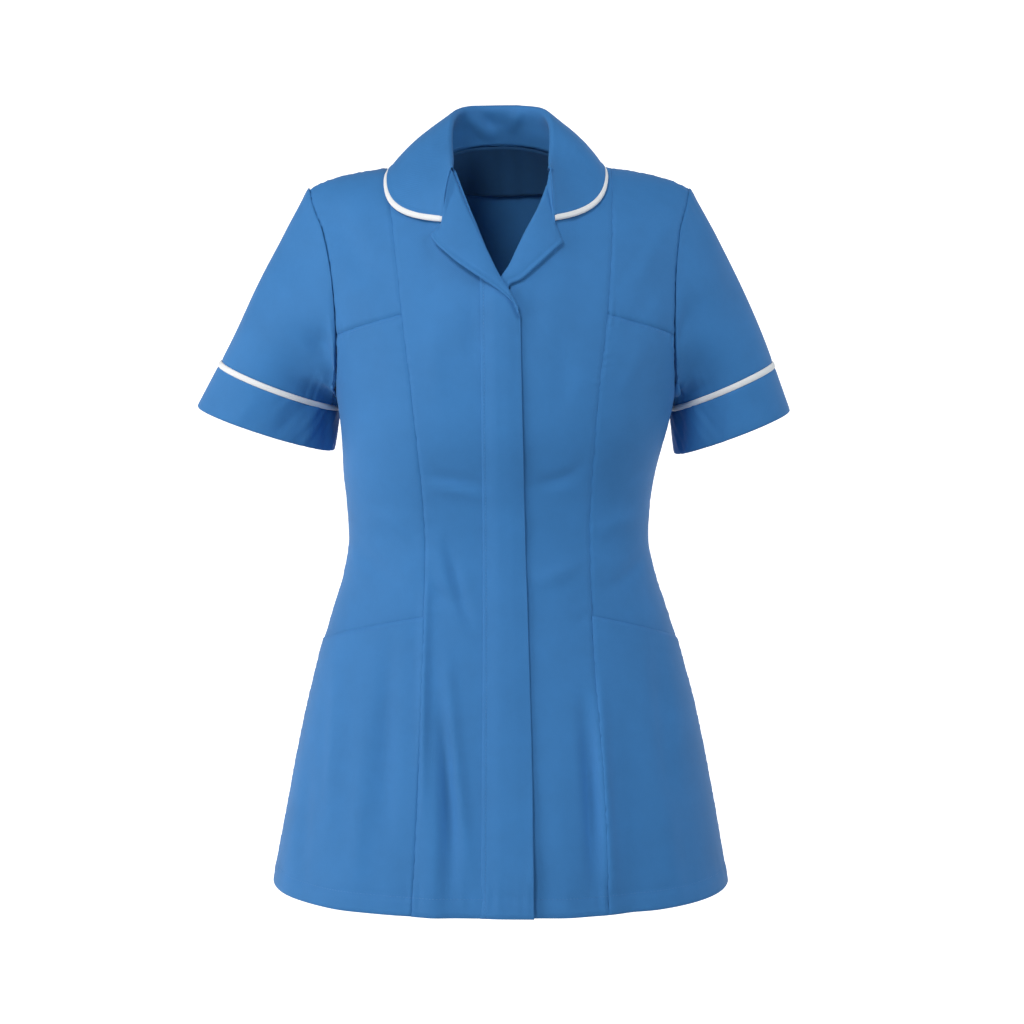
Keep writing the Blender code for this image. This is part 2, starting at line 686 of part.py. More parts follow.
@lru_cache(maxsize=None)
def neck_edge(face, side):
    """Points of a panel's top edge and its directions out, in order of x; the collar's seam runs along them."""
    if face == "back":
        grid, turn = back_centre_grid(), -1
    else:
        grid, turn = front_centre_grid(side, front_shares(side)), side
    order = np.argsort(grid[-1, :, 0])
    return grid[-1][order], turn * normals(grid)[-1][order]


def neck_seam(station, side):
    """The collar's seam point at a station, in the middle of the body's wall, and the body's direction out."""
    x = side * COLLAR.at("seam_x", station)
    points, outward = neck_edge("back" if station < BACK_STATIONS else "front", side)
    point, out = (np.array([np.interp(x, points[:, 0], values[:, i]) for i in range(3)])
                  for values in (points, outward))
    return point - out * CLOTH / 2, out


def collar_frame(station, side):
    """Seam, roll and edge points of the collar at a station on one side."""
    left = side == LEFT
    roll = np.array([COLLAR.at("roll_x", station), COLLAR.at("roll_y", station), COLLAR.at("roll_z", station)])
    edge_x = COLLAR.at("edge_x_left" if left else "edge_x", station)
    edge_z = COLLAR.at("edge_z_left" if left else "edge_z", station)
    face = "back" if station < BACK_STATIONS else "front"
    seam = neck_seam(station, side)[0]
    level = level_of(side, side * edge_x, edge_z)
    angle = angle_of(side, side * edge_x, level)
    edge = torso(face, side, angle, level)
    ahead, behind = (torso(face, side, angle + step, level) for step in (SMALL_ANGLE, -SMALL_ANGLE))
    run_x = ahead - behind
    run_z = edge - torso(face, side, angle, level - SMALL_ANGLE)
    out = np.cross(run_x, run_z) * -OUTWARD[face] * side
    edge = edge + COLLAR_LIFT * out / np.linalg.norm(out)
    return seam, roll * np.array([side, 1, 1]), edge


def collar_profile(station, side, leaf_shares):
    """Middle line of the collar's wall at a station: up the stand, over the roll and down the leaf."""
    seam, roll, edge = collar_frame(station, side)
    stand = roll - seam
    height = np.linalg.norm(stand)
    seam = seam + COLLAR_SEAM_GAP * stand / height
    radius = min(ROLL_RADIUS, ROLL_SHARE * height)
    out = edge - seam
    out[2] = 0
    out = out / np.linalg.norm(out)
    down = np.array([0, 0, -ROLL_SIDE * radius])
    inner_top = roll - out * radius + down
    outer_top = roll + out * radius + down
    leaf = edge - outer_top
    up = np.array([0.0, 0.0, 1.0])
    bulge = up - leaf * np.dot(up, leaf) / np.dot(leaf, leaf)
    bulge = bulge / np.linalg.norm(bulge) + LEAF_BULGE_OUT * out
    points = [seam, (seam + inner_top) / 2 - out * STAND_BOW, inner_top, roll]
    for share in leaf_shares:
        points.append(outer_top + share * leaf + LEAF_BULGE * math.sin(math.pi * share) * bulge)
    return np.array(points)


def collar_stations():
    """All stations round the neck, from the right front end to the left one."""
    half = np.linspace(0, FRONT_END_STATION, COLLAR_STATIONS)
    return [(station, RIGHT) for station in half[::-1]] + [(station, LEFT) for station in half[1:]]


def leaf_shares(station, side):
    """Shares down the leaf, the last two being the piping's strip."""
    seam, roll, edge = collar_frame(station, side)
    length = np.linalg.norm(edge - roll)
    return LEAF_SHARES + (1 - (PIPING_WIDTH + SEAM_GAP) / length, 1 - PIPING_WIDTH / length, 1.0)


def collar_grid():
    """A row for each station, from the seam over the roll to the leaf's edge, with the piping's strip last."""
    return np.array([collar_profile(station, side, leaf_shares(station, side))
                     for station, side in collar_stations()])


def aligned(directions, guide):
    """Turn each direction to the same side as its guide."""
    return directions * np.where(np.sum(directions * guide, axis=-1, keepdims=True) < 0, -1, 1)


def collar_normals(grid):
    """Directions out of the leaf; at the seam they follow the body, at the ends they are the lapels' too."""
    out = -normals(grid)
    seam_out = np.array([neck_seam(station, side)[1] for station, side in collar_stations()])
    out[:, 0] = aligned(seam_out, out[:, 0])
    for row, side in ((0, RIGHT), (-1, LEFT)):
        shared = end_normals(side, leaf_shares(FRONT_END_STATION, side))
        out[row, STAND_POINTS:] = aligned(shared, out[row, STAND_POINTS:])
    return out


def collar(cloth, white):
    grid = collar_grid()
    out = collar_normals(grid)
    half = COLLAR_CLOTH / 2
    leaf, leaf_out = grid[:, :-2], out[:, :-2]
    solid("collar", leaf + half * leaf_out, leaf - half * leaf_out, cloth)
    strip, strip_out = grid[:, -2:], out[:, -2:]
    solid("collar_piping", strip + PIPING_OUT * strip_out, strip - PIPING_IN * strip_out, white)


# Lapel rows from the collar's end down to the closing: roll line, outer edge and the edge's lift
LAPELS = {
    RIGHT: Table("row roll_x roll_z edge_x edge_z roll_lift edge_lift", [
        (0, 0.0437, -0.0153, 0.0617, -0.0737, 0.0020, 0.0055),
        (1, 0.0400, -0.0250, 0.0556, -0.0830, 0.0020, 0.0072),
        (2, 0.0330, -0.0430, 0.0478, -0.0903, 0.0020, 0.0082),
        (3, 0.0235, -0.0635, 0.0395, -0.0974, 0.0022, 0.0085),
        (4, 0.0096, -0.0935, 0.0185, -0.1119, 0.0036, 0.0075),
        (5, 0.0005, -0.1117, 0.0000, -0.1245, 0.0040, 0.0055),
        (6, -0.0069, -0.1228, -0.0105, -0.1345, 0.0042, 0.0048),
        (7, -0.0150, -0.1375, -0.0175, -0.1480, 0.0042, 0.0044),
    ]),
    LEFT: Table("row roll_x roll_z edge_x edge_z roll_lift edge_lift", [
        (0, 0.0444, -0.0153, 0.0571, -0.0801, 0.0020, 0.0050),
        (1, 0.0420, -0.0280, 0.0505, -0.0880, 0.0020, 0.0052),
        (2, 0.0363, -0.0445, 0.0457, -0.0930, 0.0020, 0.0050),
        (3, 0.0225, -0.0716, 0.0409, -0.0975, 0.0020, 0.0045),
        (4, 0.0150, -0.0870, 0.0290, -0.1062, 0.0020, 0.0036),
        (5, 0.0087, -0.1000, 0.0178, -0.1137, 0.0020, 0.0026),
        (6, 0.0030, -0.1085, 0.0085, -0.1180, 0.0020, 0.0022),
    ]),
}
# Across a lapel its lift and its bulge both rise quickly next to the roll
LAPEL_BULGE = 0.0022
LIFT_POWER = 0.6
BULGE_POWER = 0.7
# Down the first row of a lapel, the collar's end takes this share and the notch the rest
NOTCH_SHARE = 0.78
LAPEL_SHARES = np.array([0.0, 0.14, 0.42, NOTCH_SHARE, 1.0])
LAPEL_ROW_STEPS = 2
COLLAR_END_GAP = 0.0006
# Stations between the collar's end and the place where its direction is taken
END_STEP = 0.5
ROLL_DROP = 0.0008
SMALL_STEP = 5e-4


def collar_end(side, shares):
    """Points down the leaf at the collar's front end, where the lapel starts."""
    return collar_profile(FRONT_END_STATION, side, shares)[STAND_POINTS:]


def lapel_rows(side, shares):
    """Rows of a lapel from its table; the first one follows the collar's end and then the notch."""
    table = LAPELS[side]
    last = int(table.values["row"][-1])
    rows = np.linspace(0, last, last * LAPEL_ROW_STEPS + 1)[:, None]
    share = np.asarray(shares, float)[None, :]
    x = side * (table.at("roll_x", rows) + share * (table.at("edge_x", rows) - table.at("roll_x", rows)))
    z = table.at("roll_z", rows) + share * (table.at("edge_z", rows) - table.at("roll_z", rows))
    roll_lift, edge_lift = table.at("roll_lift", rows), table.at("edge_lift", rows)
    lift = roll_lift + (edge_lift - roll_lift) * share ** LIFT_POWER
    lift = lift + LAPEL_BULGE * np.sin(np.pi * share ** BULGE_POWER) - ROLL_DROP * (share == 0)
    grid = lift_front(x, z, side, lift)
    point = lift_front(side * table.at("edge_x", 0), table.at("edge_z", 0), side, table.at("edge_lift", 0))
    along_collar = collar_end(side, np.minimum(share[0] / NOTCH_SHARE, 1))
    out_notch = np.clip((share[0] - NOTCH_SHARE) / (1 - NOTCH_SHARE), 0, 1)[:, None]
    first = along_collar + out_notch * (point - along_collar)
    return grid + np.clip(1 - rows, 0, 1)[:, :, None] * (first - grid[0])


def end_normals(side, shares):
    """Directions out that the collar's end and the lapel's start share, so that neither tips into the other."""
    before = collar_profile(FRONT_END_STATION - END_STEP, side, shares)[STAND_POINTS:]
    onward = lapel_rows(side, np.asarray(shares) * NOTCH_SHARE)[1] - before
    out = np.cross(np.gradient(collar_end(side, shares), axis=0), onward)
    return out / np.linalg.norm(out, axis=1, keepdims=True)


def lapel_grid(side):
    """The lapel's middle surface and its directions out, its first row drawn clear of the collar."""
    grid = lapel_rows(side, LAPEL_SHARES)
    out = normals(grid)
    by_collar = LAPEL_SHARES <= NOTCH_SHARE
    out[0][by_collar] = aligned(end_normals(side, LAPEL_SHARES[by_collar] / NOTCH_SHARE), out[0][by_collar])
    clear = np.cross(out[0], np.gradient(grid[0], axis=0))
    clear = aligned(clear / np.linalg.norm(clear, axis=1, keepdims=True), grid[1] - grid[0])
    grid[0] += COLLAR_END_GAP * clear
    return grid, out


def lift_front(x, z, side, lift):
    """Points of the front at x and z, moved out square to its own surface."""
    run_x = torso_at("front", side, x + SMALL_STEP, z) - torso_at("front", side, x - SMALL_STEP, z)
    run_z = torso_at("front", side, x, z + SMALL_STEP) - torso_at("front", side, x, z - SMALL_STEP)
    out = np.cross(run_x, run_z)
    out = out / np.linalg.norm(out, axis=-1, keepdims=True)
    return torso_at("front", side, x, z) + out * np.asarray(lift)[..., None]


def lapels(cloth):
    for name, side in SIDES.items():
        grid, out = lapel_grid(side)
        half = FOLDED_CLOTH / 2
        solid("lapel_" + name, grid + half * out, grid - half * out, cloth)


# The fly lies over the zip: its top edge, tucked under the lapel, from its stitching to its free edge
FLY_TOP = Table("x z", [
    (-0.0190, -0.1050),
    (0.0000, -0.1185),
    (0.0069, -0.1268),
    (0.0135, -0.1385),
    (0.0180, -0.1470),
])
FLY_SHARES = np.array([0.0, 0.16, 0.38, 0.62, 0.84, 1.0])
FLY_CLOTH = 0.0020
FLY_HIGH_ROWS = 5
# The fly's edges are read at this level to find its top, and above the zip it lies close to the fronts
FLY_TOP_LEVEL = 1.4
ABOVE_ZIP = 0.02
TUCKED_ROOM = 0.0007
ZIP_ROOM = Table("share room", [
    (0.00, 0.0004),
    (0.16, 0.0012),
    (0.38, 0.0023),
    (0.62, 0.0023),
    (0.84, 0.0016),
    (1.00, 0.0011),
])
ZIP_TOP_LEVEL = 1.36
ZIP_FOOT_LEVEL = 0.06


def fly_x(levels):
    """Places across the fly at each level, from its stitching to its free edge."""
    stitch, edge = front_line("fly_stitch", levels), front_line("fly_edge", levels)
    return stitch + FLY_SHARES * (edge - stitch)


def fly_grid():
    """Rows up the front on the same levels as the fronts, so that the fly follows their facets."""
    low = LOW_LEVELS
    x_top = fly_x(FLY_TOP_LEVEL)
    top = level_of(LEFT, x_top, FLY_TOP.at("z", x_top))
    high = low[-1] + np.linspace(0, 1, FLY_HIGH_ROWS)[1:, None] * (top - low[-1])[None, :]
    levels = np.concatenate([np.repeat(low[:, None], len(FLY_SHARES), axis=1), high])
    return torso("front", LEFT, angle_of(LEFT, fly_x(levels), levels), levels), levels


def fly(cloth):
    grid, levels = fly_grid()
    room = ZIP_ROOM.at("room", FLY_SHARES)[None, :]
    room = np.where(levels > ZIP_TOP_LEVEL + ABOVE_ZIP, TUCKED_ROOM, room)
    solid("fly_placket", lifted(grid, room + FLY_CLOTH), lifted(grid, room), cloth)


# The zip behind the fly: tapes behind the fronts' edges, the closed teeth as one strip, and the slider
TAPE_INNER = 0.0031
TAPE_OUTER = 0.0145
TAPE_CLOTH = 0.0010
TAPE_BEHIND = 0.0010
CHAIN_HALF_WIDTH = 0.0027
CHAIN_DEPTHS = (0.0014, 0.0036)
CHAIN_BELOW = 0.03
ZIP_LAST_STEP = 0.08
# Width, height and depth of the slider and its pull, and the slope of the front where they lie
SLIDER_SIZE = (0.0058, 0.0095, 0.0040)
SLIDER_BEVEL = 0.0006
SLIDER_RISE = 0.001
PULL_SIZE = (0.0040, 0.0200, 0.0010)
PULL_BEVEL = 0.0003
PULL_HANG = 0.32
SLOPE_STEP = 0.05


def zip_grid(offsets, top_level=ZIP_TOP_LEVEL):
    """Rows on the fronts' levels at offsets from the closing line, from just above the hem."""
    ends = [top_level - ZIP_LAST_STEP, top_level]
    levels = np.concatenate([[ZIP_FOOT_LEVEL], LOW_LEVELS[HEM_ROWS:], ends])[:, None]
    x = front_line("centre", levels) + np.array(offsets)[None, :]
    return torso("front", LEFT, angle_of(LEFT, x, levels), levels)


def zip_fastener(tape_cloth, plastic):
    for name, side in SIDES.items():
        edges = sorted((side * TAPE_INNER, side * (TAPE_INNER + TAPE_OUTER) / 2, side * TAPE_OUTER))
        grid = zip_grid(edges)
        back = CLOTH + TAPE_BEHIND
        solid("zip_tape_" + name, lifted(grid, -back), lifted(grid, -back - TAPE_CLOTH), tape_cloth)
    chain = zip_grid((-CHAIN_HALF_WIDTH, CHAIN_HALF_WIDTH), ZIP_TOP_LEVEL - CHAIN_BELOW)
    solid("zip_chain", lifted(chain, -CHAIN_DEPTHS[0]), lifted(chain, -CHAIN_DEPTHS[1]), plastic)


def block(name, centre, size, tilt, material, bevel):
    """A box with bevelled edges, tilted about the X axis to lie along the front."""
    mesh = bpy.data.meshes.new(name)
    shape = bmesh.new()
    bmesh.ops.create_cube(shape, size=1.0)
    bmesh.ops.scale(shape, vec=(size[0], size[2], size[1]), verts=shape.verts)
    bmesh.ops.bevel(shape, geom=shape.edges[:], offset=bevel, segments=2, affect="EDGES", profile=0.5)
    shape.to_mesh(mesh)
    shape.free()
    mesh.shade_smooth()
    mesh.set_sharp_from_angle(angle=SHARP_EDGE)
    mesh.materials.append(material)
    thing = bpy.data.objects.new(name, mesh)
    thing.location = centre
    thing.rotation_euler = (tilt, 0, 0)
    bpy.context.scene.collection.objects.link(thing)
    return thing


def slider(metal):
    level = ZIP_TOP_LEVEL
    x = float(front_line("centre", level))
    low, high = (torso("front", LEFT, angle_of(LEFT, x, l), l) for l in (level - SLOPE_STEP, level))
    tilt = math.atan2(high[1] - low[1], high[2] - low[2])
    up = (high - low) / np.linalg.norm(high - low)
    out = np.array([0.0, -up[2], up[1]])
    middle = high - out * (CHAIN_DEPTHS[0] + CHAIN_DEPTHS[1]) / 2 + up * SLIDER_RISE
    block("zip_slider", middle, SLIDER_SIZE, -tilt, metal, SLIDER_BEVEL)
    front = middle + out * (SLIDER_SIZE[2] / 2 + SEAM_GAP + PULL_SIZE[2] / 2) - up * PULL_SIZE[1] * PULL_HANG
    block("zip_pull", front, PULL_SIZE, -tilt, metal, PULL_BEVEL)


# The facing that shows inside the back of the neck
FACING_DEPTH = 0.047
FACING_HALF_WIDTH = 0.054
FACING_GRID = (6, 11)
# The facing's gap below the seam, how much shallower its ends are, its gap behind the back and its thickness
FACING_BELOW = 0.002
FACING_TAPER = 0.25
FACING_BEHIND = 0.0017
FACING_CLOTH = 0.001


def neck_facing(cloth):
    rows, columns = FACING_GRID
    x = np.linspace(-FACING_HALF_WIDTH, FACING_HALF_WIDTH, columns)[None, :]
    top = BACK_NECK.at("z", np.abs(x)) - FACING_BELOW
    reach = FACING_DEPTH * (1 - FACING_TAPER * (x / FACING_HALF_WIDTH) ** 2)
    z = top - np.linspace(1, 0, rows)[:, None] * reach
    grid = torso_at("back", LEFT, x + 0 * z, z)
    behind = CLOTH + FACING_BEHIND
    solid("back_neck_facing", lifted(grid, behind), lifted(grid, behind + FACING_CLOTH), cloth)


def clear_scene():
    for thing in list(bpy.data.objects):
        bpy.data.objects.remove(thing)


def main():
    clear_scene()
    cloth = principled("blue_twill", (64, 121, 178), 0.75)
    white = principled("white_piping", (240, 240, 240), 0.7)
    tape = principled("zip_tape", (52, 98, 160), 0.85)
    plastic = principled("zip_teeth", (50, 92, 150), 0.4)
    metal = principled("zip_metal", (150, 152, 158), 0.35, 1.0)
    fronts(cloth)
    backs(cloth)
    sleeves(cloth, white)
    collar(cloth, white)
    lapels(cloth)
    fly(cloth)
    zip_fastener(tape, plastic)
    slider(metal)
    neck_facing(cloth)


main()
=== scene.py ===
"""Looks of the zip-front tunic, as a Blender add-on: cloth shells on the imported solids, and a studio.

Metres, +Z up. The front faces -Y, so the wearer's right side lies at -X.
The cloth's form comes from the same sizes as the solids, sampled finely, with the small creases added.
"""

import math

import bmesh
import bpy
import numpy as np
from bpy.props import FloatProperty, FloatVectorProperty, PointerProperty
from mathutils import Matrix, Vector


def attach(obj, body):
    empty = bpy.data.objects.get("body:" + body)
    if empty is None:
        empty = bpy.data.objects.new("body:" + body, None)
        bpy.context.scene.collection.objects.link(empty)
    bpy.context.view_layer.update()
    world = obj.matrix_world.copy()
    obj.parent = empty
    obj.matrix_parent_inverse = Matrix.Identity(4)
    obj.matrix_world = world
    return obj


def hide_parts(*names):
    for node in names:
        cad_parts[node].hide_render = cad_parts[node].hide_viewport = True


bl_info = {
    "name": "Zip-front tunic",
    "version": (1, 0, 0),
    "blender": (4, 5, 0),
    "location": "3D View > Sidebar > Tunic",
    "description": "Builds the cloth, seams, stitching and studio of a short-sleeved zip-front tunic",
    "category": "Add Mesh",
}

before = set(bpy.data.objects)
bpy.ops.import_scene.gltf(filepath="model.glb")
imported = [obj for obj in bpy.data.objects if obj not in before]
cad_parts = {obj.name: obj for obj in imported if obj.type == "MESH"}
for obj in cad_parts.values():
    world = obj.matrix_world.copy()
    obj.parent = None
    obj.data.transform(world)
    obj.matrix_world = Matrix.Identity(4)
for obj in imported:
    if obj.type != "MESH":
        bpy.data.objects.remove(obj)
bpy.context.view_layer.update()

# Heights and wall thicknesses
ARMPIT_Z = -0.214
HEM_Z = -0.684
SHOULDER_Z = -0.009
HEM_DIP = {"front": 0.009, "back": 0.004}
CLOTH = 0.0012
FOLDED_CLOTH = 0.0018
# Roundness of the body's cross-section: 2 is an ellipse
ROUNDNESS = 2.3
# How the front and the back lean in to the shoulder seam, above the armpit
LEAN = {"front": (1.6, 1.9), "back": (2.2, 2.2)}
OUTWARD = {"front": -1.0, "back": 1.0}
RIGHT = -1
LEFT = 1
SIDES = {"right": RIGHT, "left": LEFT}


def smooth(keys, values, where):
    """Read a value between rows on a cubic curve that never overshoots them."""
    where = np.clip(np.asarray(where, float), keys[0], keys[-1])
    step = np.diff(keys)
    slope = np.diff(values) / step
    product = slope[:-1] * slope[1:]
    total = np.where(product > 0, slope[:-1] + slope[1:], 1.0)
    tangent = np.concatenate([slope[:1], np.where(product > 0, 2 * product / total, 0.0), slope[-1:]])
    row = np.clip(np.searchsorted(keys, where, side="right") - 1, 0, len(step) - 1)
    t = (where - keys[row]) / step[row]
    start = values[row] + t * step[row] * tangent[row] * (1 - t) ** 2
    ease = t * t * (3 - 2 * t)
    end = t * t * (t - 1) * step[row] * tangent[row + 1]
    return start + ease * (values[row + 1] - values[row]) + end


class Table:
    """Rows of numbers under named columns; the first column is the one that is looked up."""

    def __init__(self, columns, rows):
        """Take the columns' names in one line, and the rows."""
        self.names = columns.split()
        self.values = {name: np.array([row[i] for row in rows], float) for i, name in enumerate(self.names)}

    def at(self, column, where):
        """The column's value at a place in the first column."""
        return smooth(self.values[self.names[0]], self.values[column], where)


# The body of the tunic below the armpits, at each height
TORSO = Table("z half_width front_depth back_depth shift", [
    (-0.700, 0.2195, 0.1480, 0.1510, 0.0000),
    (-0.657, 0.2124, 0.1440, 0.1470, -0.0004),
    (-0.611, 0.2040, 0.1380, 0.1420, 0.0000),
    (-0.564, 0.1951, 0.1300, 0.1360, 0.0000),
    (-0.518, 0.1853, 0.1210, 0.1290, 0.0000),
    (-0.472, 0.1731, 0.1110, 0.1200, -0.0005),
    (-0.426, 0.1591, 0.1010, 0.1070, -0.0009),
    (-0.391, 0.1480, 0.0965, 0.0960, -0.0014),
    (-0.357, 0.1421, 0.0945, 0.0880, -0.0022),
    (-0.323, 0.1439, 0.0980, 0.0870, -0.0023),
    (-0.300, 0.1470, 0.1040, 0.0895, -0.0018),
    (-0.277, 0.1503, 0.1108, 0.0930, 0.0005),
    (-0.258, 0.1536, 0.1155, 0.0965, 0.0026),
    (-0.238, 0.1572, 0.1180, 0.1005, 0.0041),
    (-0.214, 0.1612, 0.1185, 0.1050, 0.0046),
])
# From the armpit (0) to the shoulder seam (1); past the armhole the half width only shapes the curve
CHEST = Table("up half_width front_armhole back_armhole shift", [
    (0.00, 0.1612, 0.1612, 0.1612, 0.0046),
    (0.10, 0.1660, 0.1578, 0.1585, 0.0046),
    (0.25, 0.1740, 0.1572, 0.1585, 0.0044),
    (0.50, 0.1840, 0.1592, 0.1612, 0.0030),
    (0.75, 0.1900, 0.1662, 0.1690, 0.0006),
    (0.90, 0.1930, 0.1748, 0.1765, -0.0010),
    (1.00, 0.1950, 0.1790, 0.1790, -0.0013),
])
# Height of the shoulder line at each distance from the centre; inside the neck it is only a guide
RIDGE = Table("x height", [
    (0.000, 0.0450),
    (0.020, 0.0405),
    (0.040, 0.0260),
    (0.055, 0.0115),
    (0.068, -0.0025),
    (0.104, -0.0086),
    (0.137, -0.0140),
    (0.160, -0.0200),
    (0.182, -0.0300),
])
# Lines of the front at each height: the closing line, the panel seam out from it, the fly's two edges
FRONT = Table("z centre panel_seam fly_stitch fly_edge", [
    (-0.690, 0.0091, 0.0910, -0.0180, 0.0297),
    (-0.567, 0.0089, 0.0845, -0.0172, 0.0287),
    (-0.430, 0.0072, 0.0780, -0.0166, 0.0250),
    (-0.351, 0.0062, 0.0762, -0.0166, 0.0224),
    (-0.230, 0.0043, 0.0845, -0.0175, 0.0196),
    (-0.148, 0.0037, 0.0940, -0.0185, 0.0177),
    (-0.096, 0.0028, 0.0990, -0.0188, 0.0170),
    (-0.009, -0.0015, 0.1055, -0.0190, 0.0170),
])
BACK = Table("z panel_seam", [
    (-0.690, 0.1080),
    (-0.500, 0.0930),
    (-0.355, 0.0780),
    (-0.214, 0.0900),
    (-0.100, 0.1000),
    (-0.009, 0.1055),
])
# Top edge of each front from the closing line out: the lapel's roll line, then the neck seam
FRONT_NECK = {
    RIGHT: Table("x z", [
        (-0.0069, -0.1228),
        (0.0005, -0.1117),
        (0.0096, -0.0935),
        (0.0235, -0.0635),
        (0.0360, -0.0358),
        (0.0445, -0.0144),
        (0.0550, -0.0080),
        (0.0620, -0.0050),
        (0.0680, -0.0025),
    ]),
    LEFT: Table("x z", [
        (0.0023, -0.1090),
        (0.0087, -0.1000),
        (0.0225, -0.0716),
        (0.0363, -0.0445),
        (0.0410, -0.0358),
        (0.0445, -0.0144),
        (0.0550, -0.0080),
        (0.0620, -0.0050),
        (0.0680, -0.0025),
    ]),
}
BACK_NECK = Table("x z", [
    (0.000, 0.0154),
    (0.020, 0.0145),
    (0.040, 0.0105),
    (0.055, 0.0045),
    (0.068, -0.0025),
])
NECK_POINT_X = 0.068
# The main folds, each a soft ridge or trough from its start to its end, on its own side:
# x and z of its start, x and z of its end, width and height
FOLDS = {
    "front": [
        (-0.150, -0.045, -0.088, -0.150, 0.015, -0.0032),
        (0.146, -0.050, 0.100, -0.140, 0.014, -0.0022),
        (-0.064, -0.345, -0.024, -0.455, 0.012, 0.0022),
        (-0.062, -0.520, -0.062, -0.700, 0.014, 0.0040),
        (0.113, -0.480, 0.122, -0.700, 0.014, -0.0045),
        (0.050, -0.500, 0.062, -0.700, 0.018, 0.0032),
        (-0.135, -0.500, -0.150, -0.700, 0.018, 0.0030),
    ],
    "back": [
        (-0.060, -0.470, -0.075, -0.700, 0.020, 0.0055),
        (0.054, -0.455, 0.066, -0.700, 0.019, 0.0050),
        (-0.128, -0.480, -0.150, -0.700, 0.018, -0.0040),
        (0.120, -0.500, 0.142, -0.700, 0.020, -0.0042),
        (-0.070, -0.330, 0.030, -0.352, 0.014, -0.0035),
        (0.085, -0.300, -0.010, -0.322, 0.012, -0.0025),
        (-0.140, -0.090, -0.085, -0.190, 0.018, -0.0030),
        (0.142, -0.095, 0.088, -0.185, 0.017, -0.0028),
    ],
}


def signed_power(value, power):
    """A power that keeps the value's sign."""
    return np.sign(value) * np.abs(value) ** power


def bell(distance, width):
    """1 where the distance is 0, and falling off smoothly over the width."""
    return np.exp(-(distance / width) ** 2)


def with_ridges(relief, distance, ridges):
    """A relief with soft ridges or dips at places along a distance: height, place and width of each."""
    for height, place, width in ridges:
        relief = relief + height * bell(distance - place, width)
    return relief


def below_armpit(column, level):
    """A column of the lower body's table at a level."""
    return TORSO.at(column, HEM_Z + np.clip(level, 0, 1) * (ARMPIT_Z - HEM_Z))


def of_body(column, level):
    """A column that both of the body's tables have, at a level."""
    level = np.asarray(level)
    return np.where(level > 1, CHEST.at(column, level - 1), below_armpit(column, level))


def half_width(level):
    """Half of the body's width at a level."""
    return of_body("half_width", level)


def shift(level):
    """How far the body's middle stands to one side at a level."""
    return of_body("shift", level)


def nominal_z(level):
    """The height that a level has on the middle of a shoulder: 0 is the hem, 1 the armpit, 2 the shoulder."""
    level = np.asarray(level, float)
    above = ARMPIT_Z + (level - 1) * (SHOULDER_Z - ARMPIT_Z)
    return np.where(level > 1, above, HEM_Z + level * (ARMPIT_Z - HEM_Z))


def depth(face, level):
    """How far the front or the back stands out from the side seams at a level."""
    below = below_armpit(face + "_depth", level)
    up = np.clip(np.asarray(level) - 1, 0, 1)
    rise, fall = LEAN[face]
    return below * (1 - up ** rise) ** (1 / fall)


def fold_height(face, x, z):
    """How far the folds move the cloth out of its plain form."""
    height = np.zeros(np.shape(x))
    for x0, z0, x1, z1, width, rise in FOLDS[face]:
        length = math.hypot(x1 - x0, z1 - z0)
        along_x, along_z = (x1 - x0) / length, (z1 - z0) / length
        along = ((x - x0) * along_x + (z - z0) * along_z) / length
        across = ((x - x0) * along_z - (z - z0) * along_x) / width
        inside = np.clip(along, 0, 1)
        body = np.sin(np.pi * inside ** 0.8) ** 0.8
        if z1 < HEM_Z:
            body = np.sin(0.5 * np.pi * inside) ** 1.2
        height = height + rise * body * np.exp(-across ** 2) * (along > 0) * (along < 1.0001)
    return height


def torso(face, side, angle, level):
    """A point of the outer face: angle 0 is the body's middle, a quarter turn is the side seam."""
    angle, level = np.broadcast_arrays(np.asarray(angle, float), np.asarray(level, float))
    across = signed_power(np.sin(angle), 2 / ROUNDNESS)
    forward = np.abs(np.cos(angle)) ** (2 / ROUNDNESS)
    reach = half_width(level) * across
    up = np.clip(level - 1, 0, 1)
    low_z = nominal_z(np.minimum(level, 1)) - HEM_DIP[face] * forward * (1 - np.minimum(level, 1))
    z = np.where(level > 1, ARMPIT_Z + up * (RIDGE.at("height", np.abs(reach)) - ARMPIT_Z), low_z)
    x = side * reach + shift(level)
    bulge = fold_height(face, x, z)
    y = OUTWARD[face] * (depth(face, level) + bulge) * forward
    x = x + side * bulge * across * (1 - forward)
    return np.stack([x, y, z], axis=-1)


def angle_of(side, x, level):
    """The angle round the body that gives x at a level."""
    ratio = side * (x - shift(level)) / half_width(level)
    return np.arcsin(signed_power(np.clip(ratio, -1, 1), ROUNDNESS / 2))


def level_of(x, z):
    """The level at a height above the armpit, for a point at x."""
    level = np.full(np.broadcast(x, z).shape, 1.8)
    for _ in range(4):
        ridge = RIDGE.at("height", np.abs(x - shift(level)))
        level = 1 + np.clip((z - ARMPIT_Z) / (ridge - ARMPIT_Z), 0, 1)
    return level


def torso_at(face, side, x, z):
    """The outer face above the armpit, found from the front: x and z give the depth."""
    level = level_of(x, z)
    return torso(face, side, angle_of(side, x, level), level)


def armhole(face, side, up):
    """The armhole seam: up is 0 under the arm and 1 at the shoulder's tip."""
    return torso(face, side, armhole_angle(face, up), 1 + up)


def armhole_angle(face, up):
    """The angle round the body at which the armhole seam lies."""
    reach = CHEST.at(face + "_armhole", np.clip(up, 0, 1))
    ratio = np.clip(reach / half_width(1 + np.clip(up, 0, 1)), 0, 1)
    return np.where(up <= 0, math.pi / 2, np.arcsin(ratio ** (ROUNDNESS / 2)))


def front_line(column, level):
    """One of the front's lines at a level."""
    return FRONT.at(column, nominal_z(level))


